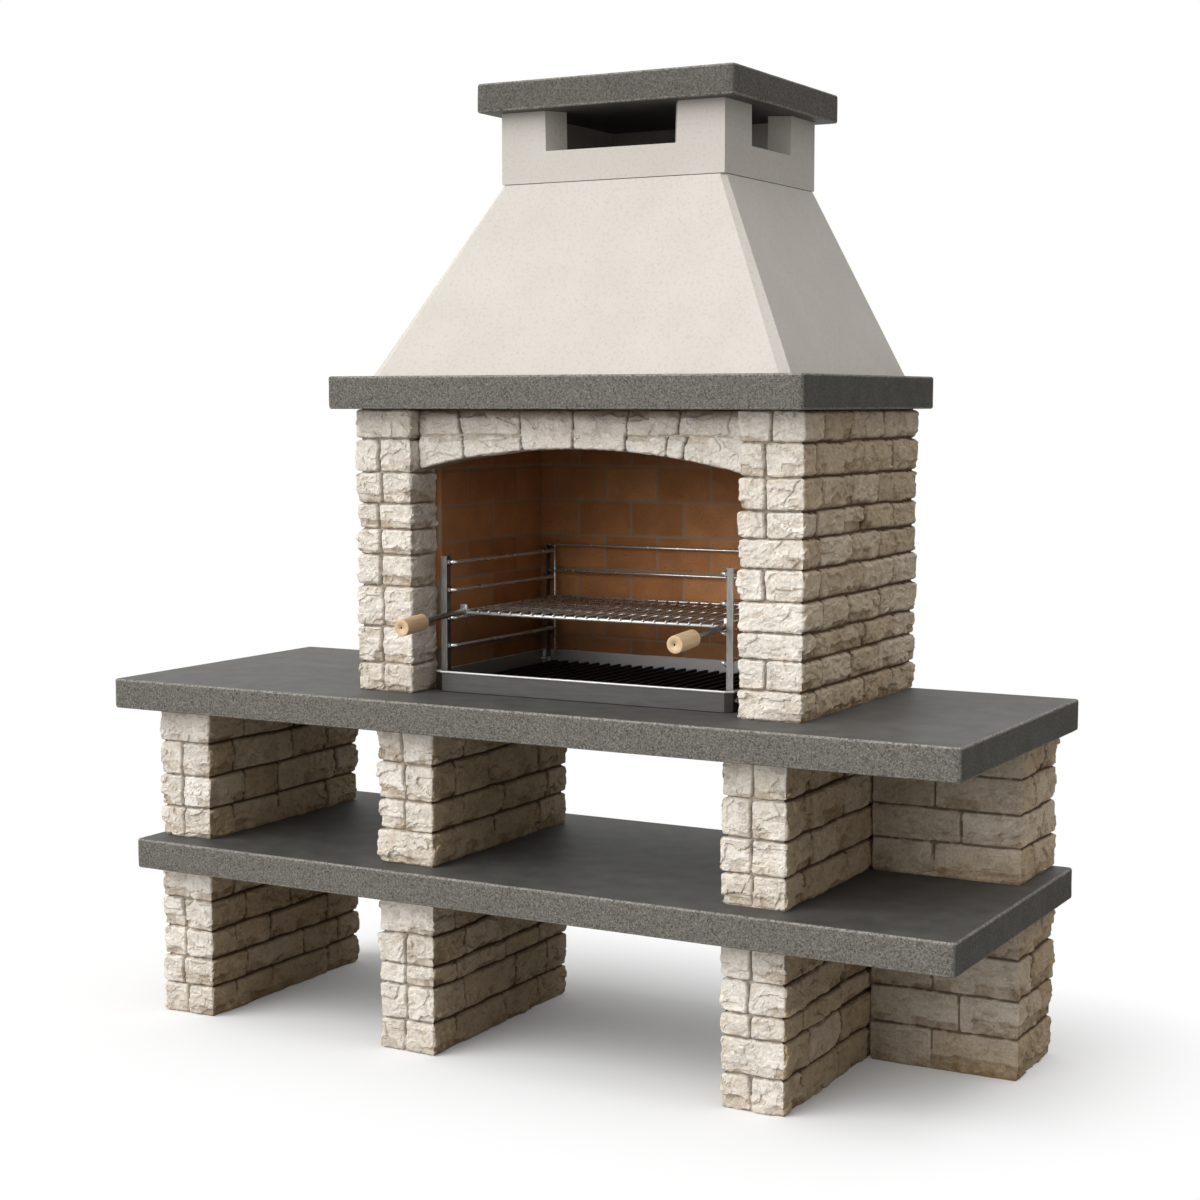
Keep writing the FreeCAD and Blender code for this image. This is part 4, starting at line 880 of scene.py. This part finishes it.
def pierced_slab(name, node, insets, material, seed):
    """A slab with a rectangular opening: a section of rim, top, inner edge and underside carried round.

    insets are the distances from the front, right, back and left faces to the opening.
    """
    low, high = flat_box(node)
    plan, side, rim = slab_rim(low, high, seed)
    rows, columns = rim.shape[:2]
    share_x = (plan[:, 0] - low[0]) / (high[0] - low[0])
    share_y = (plan[:, 1] - low[1]) / (high[1] - low[1])
    hole_x = low[0] + insets[3] + share_x * (high[0] - low[0] - insets[3] - insets[1])
    hole_y = low[1] + insets[0] + share_y * (high[1] - low[1] - insets[0] - insets[2])
    hole = side_by_side(hole_x, hole_y, np.array([[high[2]], [low[2]]]))
    ring = np.concatenate([rim, hole])
    edge = np.concatenate([grained(rows, side, LONG_GRAIN, END_GRAIN_AND_SHADE), np.zeros((2, columns))])
    worn_edge = np.concatenate([arris(rows, columns), np.zeros((2, columns))])
    return closed_ring(name, ring, material, lidded=False, edge=edge, arris=worn_edge)


mantel = pierced_slab("mantel_slab_cast", "mantel_slab", MANTEL_INSETS, dark_concrete, 340)
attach(mantel, "masonry")
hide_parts("mantel_slab")

# Hood: a hollow tapering shell of fine off-white concrete, cast in one piece with an upright back.
# It stands on the mantel over the smoke opening.
HOOD_WALL = 40
CHIMNEY_WALL = 45
HIP_ROUND = 7
HOOD_ROWS = 40
SIDE_POINTS = 24


def ring_plan(low, high, radius):
    """A rounded rectangle walked anticlockwise, with the same number of points whatever its size."""
    middle = (np.array(low) + np.array(high)) / 2
    half = (np.array(high) - np.array(low)) / 2
    steps = np.tile(half, 2) * 2 / SIDE_POINTS
    plan, *_ = plan_walk(block_corners(-half, half), steps, radius)
    return plan + middle


def tapered_shell(name, node, top_node, material):
    """The hood: plans blended from foot to top outside and back down inside, as one closed shell."""
    low, high = flat_box(node)
    top_low, top_high = flat_box(top_node)
    up = np.linspace(0, 1, HOOD_ROWS)[:, None, None]
    foot = ring_plan(low[:2], high[:2], HIP_ROUND)
    top = ring_plan(top_low[:2], top_high[:2], HIP_ROUND)
    inner_foot = ring_plan(low[:2] + HOOD_WALL, high[:2] - HOOD_WALL, HIP_ROUND)
    inner_top = ring_plan(top_low[:2] + CHIMNEY_WALL, top_high[:2] - CHIMNEY_WALL, HIP_ROUND)
    outer = (1 - up) * foot + up * top
    inner = ((1 - up) * inner_foot + up * inner_top)[::-1]
    plan = np.concatenate([outer, inner])
    heights = low[2] + (high[2] - low[2]) * np.concatenate([up, up[::-1]])
    ring = np.concatenate([plan, np.broadcast_to(heights, (*plan.shape[:2], 1))], axis=-1)
    soot = np.concatenate([np.zeros(outer.shape[:2]), np.ones(inner.shape[:2])])
    return closed_ring(name, ring, material, smooth=False, lidded=False, soot=soot)


# Pale cast concrete: white cement with fine sand, matt and slightly sandy; darkened inside by soot and
# painted shade
pale_concrete, tree, shader, coords = new_material("pale_cast_concrete")
soot = point_value(tree, "soot")
cloudy = mapped(tree, noise(tree, coords, 0.12, 5.0), 0.3, 0.7)
body = blend(tree, cloudy, "#c6c0b8", "#cbc6be")
sand = noise(tree, coords, 0.006, 2.0)
specks = mapped(tree, sand, 0.5, 0.72, 0.0, 0.42)
body = blend(tree, specks, body, "#b3a899")
# Inside the hood and chimney, soot and painted shade darken the concrete
body = blend(tree, soot, body, "#1f1c19")
tree.links.new(body, shader.inputs["Base Color"])
roughen(tree, shader, 0.25, 0.0008, sand)
shader.inputs["Roughness"].default_value = 0.75
shader.inputs["Specular IOR Level"].default_value = 0.5

hood = tapered_shell("hood_shell", "hood", "chimney", pale_concrete)
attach(hood, "masonry")
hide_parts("hood")

# Chimney: a hollow block of the same pale concrete on top of the hood, with smoke notches under the cap
# in its front and right side. A thin dark joint parts it from the hood.
FRONT_WINDOW = 314
SIDE_WINDOW = 200
WINDOW_HEIGHT = 84
NOTCH_DRAFT = 2
JOINT_GAP = 1.6
CHIMNEY_ROWS = 14
CHIMNEY_SOOT_AND_SHADE = 0.12


def notched_ring(name, node, material):
    """The chimney: a section of outer wall, top and inner wall carried round a square, lower at each notch.

    Along each side the samples crowd at the notch's ends, where the top steps down with a slight draft.
    """
    low, high = flat_box(node)
    middle = (low + high) / 2
    half = (high - low)[:2] / 2
    sides = (
        ((-1, -1), (1, -1), FRONT_WINDOW), ((1, -1), (1, 1), SIDE_WINDOW),
        ((1, 1), (-1, 1), 0), ((-1, 1), (-1, -1), 0),
    )
    outer, inner, top = [], [], []
    for start, end, window in sides:
        begin, finish = half * start, half * end
        length = np.linalg.norm(finish - begin)
        if window:
            near, far = (length - window) / 2, (length + window) / 2
            run = np.concatenate([
                [0, 6], np.linspace(20, near - 12, 4), [near - 4, near, near + NOTCH_DRAFT, near + 6],
                np.linspace(near + 20, far - 20, 8), [far - 6, far - NOTCH_DRAFT, far, far + 4],
                np.linspace(far + 12, length - 20, 4), [length - 6],
            ])
            deep = (run > near + 0.5 * NOTCH_DRAFT) & (run < far - 0.5 * NOTCH_DRAFT)
        else:
            run = np.concatenate([[0, 6], np.linspace(20, length - 20, 12), [length - 6]])
            deep = np.zeros(len(run), bool)
        outer.append(begin + (run / length)[:, None] * (finish - begin))
        inner.append(outer[-1] * ((half - CHIMNEY_WALL) / half))
        top.append(np.where(deep, high[2] - WINDOW_HEIGHT, high[2]))
    foot = low[2] + JOINT_GAP
    heights = foot + np.linspace(0, 1, CHIMNEY_ROWS)[:, None] * (np.concatenate(top) - foot)
    outside = side_by_side(*np.concatenate(outer).T, heights)
    inside = side_by_side(*np.concatenate(inner).T, heights[::-1])
    ring = np.concatenate([outside, inside])
    ring[..., :2] += middle[:2]
    soot = np.concatenate([np.zeros(heights.shape), np.full(heights.shape, CHIMNEY_SOOT_AND_SHADE)])
    return closed_ring(name, ring, material, smooth=False, lidded=False, soot=soot)


chimney = notched_ring("chimney_block", "chimney", pale_concrete)
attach(chimney, "masonry")
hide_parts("chimney")

# Chimney cap: a dark concrete slab like the others, its edges rubbed alike all round, laid over the notches.
CAP_GRAIN = 0.6
cap = cast_slab("chimney_cap_cast", "chimney_cap", dark_concrete, 360, CAP_GRAIN, CAP_GRAIN)
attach(cap, "masonry")
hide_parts("chimney_cap")

# Fire basket: a folded sheet steel tray with four uprights bolted in its corners, bright bent rails
# held by nuts, and a welded guard of thin rods at the back. The whole kit is loose on the worktop.


def metal(name, colours, grain_mm, roughness, stretch, metallic=1.0):
    """A metal with two tones in fine streaks along one axis, and a roughness that follows them."""
    material, tree, shader, coords = new_material(name)
    drawn = add(tree, "Mapping", {"Vector": coords, "Scale": stretch}).outputs[0]
    streak = mapped(tree, noise(tree, drawn, grain_mm / 1000, 4.0), 0.3, 0.7)
    tree.links.new(blend(tree, streak, *colours), shader.inputs["Base Color"])
    tree.links.new(mapped(tree, streak, 0.0, 1.0, *roughness), shader.inputs["Roughness"])
    shader.inputs["Metallic"].default_value = metallic
    return material


# Stainless steel, drawn and ground: bright, hardly uneven in tone
bright_steel = metal("ground_stainless_steel", ("#cccbc8", "#d4d3d0"), 20, (0.25, 0.28), (1, 1, 1), 0.65)
# Nickelled wire: a little greyer and softer in sheen than the ground steel
grid_steel = metal("nickelled_steel_wire", ("#c2c1be", "#cccbc9"), 20, (0.26, 0.3), (1, 1, 1), 0.6)
# Cold-rolled sheet steel, oiled: dull dark grey with faint rolling marks along its length
tray_steel = metal("rolled_sheet_steel", ("#484745", "#545351"), 5, (0.46, 0.56), (0.1, 1, 1))
# Pressed angle steel, left as rolled: greyer and duller than the drawn rods
angle_steel = metal("pressed_angle_steel", ("#5f5d5a", "#7c7a77"), 4, (0.4, 0.52), (1, 1, 0.2))
# Hot-rolled bar, blackened by fire: dark and dull
grate_iron = metal("blackened_bar_iron", ("#232120", "#3a3734"), 9, (0.5, 0.7), (1, 0.3, 1))


def bent_path(corners, radius):
    """A line through corner points with each inner corner replaced by an arc that touches both its runs."""
    corners = np.array(corners, float)
    path = [corners[:1]]
    for before, here, after in zip(corners, corners[1:], corners[2:]):
        back = (before - here) / np.linalg.norm(before - here)
        on = (after - here) / np.linalg.norm(after - here)
        half = np.arccos(np.clip(back @ on, -1, 1)) / 2
        middle = here + (back + on) / np.linalg.norm(back + on) * radius / np.sin(half)
        first, last = here + back * radius / np.tan(half), here + on * radius / np.tan(half)
        share = np.linspace(0, 1, 7)[:, None]
        chord = first + share * (last - first) - middle
        path.append(middle + radius * chord / np.linalg.norm(chord, axis=1, keepdims=True))
    path.append(corners[-1:])
    return np.concatenate(path)


def round_rods(name, paths, radius, material, sides=12):
    """Round bars: a circle carried along each path, drawn in to a small ease and a lid at both ends."""
    points, quads, lids, first = [], [], [], 0
    turn = np.linspace(0, 2 * np.pi, sides, endpoint=False)
    for path in paths:
        ease = min(1.0, radius * 0.3)
        inward = path[[1, -2]] - path[[0, -1]]
        eased = path[[0, -1]] + inward / np.linalg.norm(inward, axis=1, keepdims=True) * ease
        path = np.concatenate([path[:1], eased[:1], path[1:-1], eased[1:], path[-1:]])
        size = np.full(len(path), radius)
        size[[0, -1]] = radius - ease
        ahead = np.gradient(path, axis=0)
        ahead /= np.linalg.norm(ahead, axis=1, keepdims=True)
        flat = np.abs(ahead[:, 2:]).max() < 0.99 and np.ptp(path[:, 2]) < 0.01
        aside = np.cross(ahead, (0, 0, 1) if flat else (1, 0, 0))
        aside /= np.linalg.norm(aside, axis=1, keepdims=True)
        upward = np.cross(aside, ahead)
        circle = np.cos(turn)[:, None] * aside[:, None] + np.sin(turn)[:, None] * upward[:, None]
        points.append((path[:, None] + size[:, None, None] * circle).reshape(-1, 3))
        quads.append(grid_quads(len(path), sides) + first)
        lids += [lid + first for lid in end_lids(len(path), sides)]
        first += len(path) * sides
    return new_piece(name, np.concatenate(points), np.concatenate(quads), tuple(lids), material)


TRAY_CORNER = 9
TRAY_SHEET = 2
TRAY_LIP = 4
INNER_WALL_LIGHT = 0.35


def folded_tray(name, node, material):
    """The tray: a section of wall, rolled rim, inner wall and floor carried round a rounded rectangle."""
    low, high = flat_box(node)
    lip, tall = TRAY_LIP, high[2] - low[2]
    wall = lip + TRAY_SHEET
    section = (
        (lip + 1.5, 0), (lip, 1.5), (lip, 20), (lip, tall - 5), (lip - 2, tall - 4.4), (0.6, tall - 3.8),
        (0, tall - 2), (0.6, tall - 0.5), (2, tall), (lip + 1, tall), (wall, tall - 1.2), (wall, 20),
        (wall, 4), (wall + 2, TRAY_SHEET),
    )
    rings = []
    for inset, level in section:
        plan = ring_plan(low[:2] + inset, high[:2] - inset, TRAY_CORNER - min(inset, 6) * 0.7)
        rings.append(side_by_side(*plan.T, low[2] + level))
    ring = np.stack(rings)
    # The rim is painted as a highlight and the inner walls as reflected light
    inside = np.zeros(ring.shape[:2])
    inside[-4:-1] = INNER_WALL_LIGHT
    inside[5:-4] = 1
    return closed_ring(name, ring, material, smooth=False, inside=inside)


# The rolled rim of the tray is painted bright as a highlight, and its inner walls are painted lighter as
# reflected light
tree = tray_steel.node_tree
shader = tree.nodes["Principled BSDF"]
dull = shader.inputs["Base Color"].links[0].from_socket
inside = point_value(tree, "inside")
painted_light_colour = blend(tree, inside, dull, "#cfcecb")
tree.links.new(painted_light_colour, shader.inputs["Base Color"])
share = mapped(tree, inside, 0.0, 1.0, 1.0, 0.4)
tree.links.new(share, shader.inputs["Metallic"])

tray = folded_tray("fire_tray_folded", "fire_tray", tray_steel)
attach(tray, "fire_basket")
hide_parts("fire_tray")

RAIL_LEVELS = 4
RAIL_BEND = 9
RAIL_RADIUS = 4
for side in ("left", "right"):
    node = f"side_rails_{side}"
    low, high = flat_box(node)
    end_x, run_x = (low[0], high[0] - RAIL_RADIUS) if side == "left" else (high[0], low[0] + RAIL_RADIUS)
    front_y, rear_y = low[1] + RAIL_RADIUS, high[1] - RAIL_RADIUS
    levels = np.linspace(low[2] + RAIL_RADIUS, high[2] - RAIL_RADIUS, RAIL_LEVELS)
    turns = np.array([(end_x, front_y), (run_x, front_y), (run_x, rear_y), (end_x, rear_y)])
    paths = [bent_path(side_by_side(*turns.T, z), RAIL_BEND) for z in levels]
    rails = round_rods(f"{node}_bent", paths, RAIL_RADIUS, bright_steel)
    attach(rails, "fire_basket")
    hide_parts(node)

GUARD_ROD = 3
GUARD_POST = 2.5
GUARD_PITCH = 60
POST_INSET = 17
low, high = flat_box("rear_guard")
middle_y = (low[1] + high[1]) / 2
top_z = high[2] - GUARD_ROD
rods = [side_by_side([low[0], high[0]], middle_y, top_z - GUARD_PITCH * number) for number in range(3)]
guard = round_rods("rear_guard_rods", rods, GUARD_ROD, bright_steel)
posts = [side_by_side(x, middle_y, [low[2], top_z]) for x in (low[0] + POST_INSET, high[0] - POST_INSET)]
guard_posts = round_rods("rear_guard_posts", posts, GUARD_POST, bright_steel)
for piece in (guard, guard_posts):
    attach(piece, "fire_basket")
    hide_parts("rear_guard")


def paint_solids(material, *nodes):
    """Gives CAD solids that are shown as they are a material of the scene."""
    for node in nodes:
        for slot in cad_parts[node].material_slots:
            slot.material = material


paint_solids(angle_steel, "front_upright_left", "front_upright_right", "rail_inner_nuts", "rail_outer_nuts")
paint_solids(angle_steel, "rear_upright_left", "rear_upright_right")
paint_solids(bright_steel, "tray_bolts", "tray_spacers", "tray_nuts")

# Charcoal grate: flat bars on three cross feet, welded and blackened, loose in the tray.
paint_solids(grate_iron, "charcoal_grate")

# Cooking grid: bright wires welded across four rods, their front ends bent down over the first rod.
CROSS_RODS = 4
GRID_WIRES = 24
HOOK_TURN = 75
low, high = flat_box("grid_cross_rods")
radius = (high[2] - low[2]) / 2
cross_z = low[2] + radius
first_y = low[1] + radius
rod_y = np.linspace(first_y, high[1] - radius, CROSS_RODS)
rods = [side_by_side([low[0], high[0]], y, cross_z) for y in rod_y]
cross_rods = round_rods("grid_cross_rods_drawn", rods, radius, grid_steel)
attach(cross_rods, "cooking_grid")
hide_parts("grid_cross_rods")

low, high = flat_box("grid_wires")
thin = (high[2] - low[2]) / 2
wire_z = low[2] + thin
reach = wire_z - cross_z
bend = np.radians(np.linspace(0, HOOK_TURN, 6))
paths = []
for number, x in enumerate(np.linspace(low[0] + thin, high[0] - thin, GRID_WIRES)):
    hook = side_by_side(x, first_y - reach * np.sin(bend), cross_z + reach * np.cos(bend))
    plain = np.array([(x, low[1], wire_z)])
    front = plain if number in (0, GRID_WIRES - 1) else hook[::-1]
    paths.append(np.concatenate([front, [(x, high[1], wire_z)]]))
wires = round_rods("grid_wires_bent", paths, thin, grid_steel)
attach(wires, "cooking_grid")
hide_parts("grid_wires")

# Handle rods: plain drawn bar, duller than the grid, welded into the end plates so that they dip forwards.
HANDLE_RADIUS = 6
HANDLE_DROP = 11
HANDLE_REACH = 160
HANDLE_DIP = np.arctan2(HANDLE_DROP, HANDLE_REACH)
HANDLE_AXIS = np.array([0, np.cos(HANDLE_DIP), np.sin(HANDLE_DIP)])
HANDLE_UP = np.array([0, -np.sin(HANDLE_DIP), np.cos(HANDLE_DIP)])
handle_steel = metal("drawn_bar_steel", ("#8b8986", "#a6a4a0"), 4, (0.38, 0.48), (1, 0.2, 1))
for side in ("left", "right"):
    low, high = flat_box(f"handle_rod_{side}")
    half = (high[1] - low[1] - 2 * HANDLE_RADIUS * HANDLE_AXIS[2]) / (2 * HANDLE_AXIS[1])
    bar = (low + high) / 2 + np.array([[-half], [half]]) * HANDLE_AXIS
    handle = round_rods(f"handle_rod_{side}_drawn", [bar], HANDLE_RADIUS, handle_steel, sides=20)
    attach(handle, "cooking_grid")
    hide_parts(f"handle_rod_{side}")
paint_solids(bright_steel, "handle_plate_left", "handle_plate_right")
paint_solids(grate_iron, "grip_screws")

# Handle grips: turned beech, bored for the rod and held by a screw in the end.
GRIP_RADIUS = 18
GRIP_LENGTH = 78
GRIP_EASE = 1.8
SCREW_BORE = 2.2
ROD_BORE = 6.1


def turned_grip(name, node, radius, length, material):
    """A grip: a profile of radius along its length, turned round the rod's axis, with a hole at each end."""
    low, high = flat_box(node)
    turn = np.radians(np.linspace(0, 90, 6))
    ease = GRIP_EASE * (1 - np.sin(turn))
    share = np.linspace(0, 1, 12)[1:-1]
    belly = radius - 0.5 * (1 - np.sin(np.pi * share))
    bores = [SCREW_BORE] * 2, [ROD_BORE] * 2
    profile_r = np.concatenate([bores[0], belly[0] - ease, belly, belly[-1] - ease[::-1], bores[1]])
    start, end = GRIP_EASE * (1 - np.cos(turn)), length - GRIP_EASE * (1 - np.cos(turn[::-1]))
    straight = GRIP_EASE + share * (length - 2 * GRIP_EASE)
    profile_y = np.concatenate([[2, -0.3], start - 0.3, straight, end, [length, length - 8]])
    around = np.linspace(0, 2 * np.pi, 49)[:-1]
    spokes = np.cos(around)[:, None] * np.array([1, 0, 0]) + np.sin(around)[:, None] * HANDLE_UP
    middles = (low + high) / 2 + (profile_y - length / 2)[:, None] * HANDLE_AXIS
    points = (middles[:, None] + profile_r[:, None, None] * spokes).reshape(-1, 3)
    shape = len(profile_r), len(around)
    lids = [lid[::-1] for lid in end_lids(*shape)]
    return new_piece(name, points, grid_quads(*shape)[:, ::-1], lids, material)


# Turned beech: pale pinkish straw with fine lengthwise pores
beech, tree, shader, coords = new_material("turned_beech")
along_grain = add(tree, "Mapping", {"Vector": coords, "Scale": (1.0, 0.06, 1.0)}).outputs[0]
fibre = mapped(tree, noise(tree, along_grain, 0.003, 4.0), 0.3, 0.7)
wood = blend(tree, fibre, "#c9a67e", "#dfc4a0")
tree.links.new(wood, shader.inputs["Base Color"])
shader.inputs["Roughness"].default_value = 0.5
for side in ("left", "right"):
    grip = turned_grip(f"handle_grip_{side}_turned", f"handle_grip_{side}", GRIP_RADIUS, GRIP_LENGTH, beech)
    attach(grip, "cooking_grid")
    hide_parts(f"handle_grip_{side}")

# Floor, light and camera: a plain pale floor that fades to white, one large soft lamp from the front left,
# weaker ones from above and from the right, and the camera where the picture was taken from.
FLOOR_HALF = 14
SHADED_GROUND = (0.85, 0.3, 0)
WHITE_FROM = 0.55
floor_mesh = bpy.data.meshes.new("floor")
floor_corners = block_corners((-FLOOR_HALF, -FLOOR_HALF), (FLOOR_HALF, FLOOR_HALF))
floor_mesh.from_pydata([(*corner, 0) for corner in floor_corners], [], [(0, 1, 2, 3)])
floor = bpy.data.objects.new("floor", floor_mesh)
bpy.context.scene.collection.objects.link(floor)


def seen_rays(tree):
    """Whether a ray comes straight from the camera, and whether it shows things rather than lights them."""
    rays = add(tree, "LightPath", {}).outputs
    seen = reckon(tree, "MAXIMUM", rays["Is Camera Ray"], rays["Is Glossy Ray"])
    return rays["Is Camera Ray"], reckon(tree, "MAXIMUM", seen, rays["Is Transmission Ray"])


# Pale floor paint: shaded under the part, and fading to plain white away from it
floor_paint, tree, shader, coords = new_material("pale_floor")
shader.inputs["Roughness"].default_value = 1.0
shader.inputs["Specular IOR Level"].default_value = 0.0
white = add(tree, "Emission", {"Strength": 1.0}).outputs[0]
away = add(tree, "VectorMath", {0: coords}, operation="ABSOLUTE").outputs[0]
away = add(tree, "VectorMath", {0: away, 1: SHADED_GROUND}, operation="SUBTRACT").outputs[0]
away = add(tree, "VectorMath", {0: away, 1: (0, 0, 0)}, operation="MAXIMUM").outputs[0]
away = add(tree, "VectorMath", {0: away}, operation="LENGTH").outputs["Value"]
fade = mapped(tree, away, 0.0, WHITE_FROM, 0.08, 1.0)
by_camera, seen = seen_rays(tree)
tree.links.new(blend(tree, by_camera, "#94928f", "#fcfcfc"), shader.inputs["Base Color"])
fade = reckon(tree, "MULTIPLY", fade, seen)
mixed = add(tree, "MixShader", {0: fade, 1: shader.outputs[0], 2: white}).outputs[0]
tree.links.new(mixed, tree.nodes["Material Output"].inputs["Surface"])
floor_mesh.materials.append(floor_paint)

world = bpy.data.worlds.new("studio")
bpy.context.scene.world = world
world.use_nodes = True
tree = world.node_tree
backdrop = tree.nodes["Background"]
backdrop.inputs["Color"].default_value = (1, 1, 1, 1)
backdrop.inputs["Strength"].default_value = 1.0
glow = add(tree, "Background", {"Color": (1, 1, 1, 1), "Strength": 0.22}).outputs[0]
mixed = add(tree, "MixShader", {0: seen_rays(tree)[1], 1: glow, 2: backdrop.outputs[0]}).outputs[0]
tree.links.new(mixed, tree.nodes["World Output"].inputs["Surface"])


def sun(name, width, energy, place, turn):
    """A lamp of even light whose width softens its shadows; its width and turn are in degrees."""
    lamp = bpy.data.lights.new(name, "SUN")
    lamp.angle = radians(width)
    lamp.energy = energy
    thing = bpy.data.objects.new(name, lamp)
    thing.location = place
    thing.rotation_euler = [radians(angle) for angle in turn]
    bpy.context.scene.collection.objects.link(thing)


sun("key_lamp", 64, 3.1, (-2.6, -4.6, 4.2), (64, 0, -34))
sun("overhead_lamp", 90, 1.25, (0, 0, 5), (0, 0, 0))
sun("fill_lamp", 90, 0.38, (4, -1, 3.5), (50, 0, 80))

lens = bpy.data.cameras.new("camera")
lens.lens = 63.8
lens.sensor_width = 36
camera = bpy.data.objects.new("camera", lens)
camera.location = (2.2652, -4.0279, 1.3881)
camera.rotation_euler = (radians(90 - 5.3), 0, radians(29))
bpy.context.scene.collection.objects.link(camera)
bpy.context.scene.camera = camera
bpy.context.scene.view_settings.view_transform = "Standard"

bpy.context.view_layer.update()
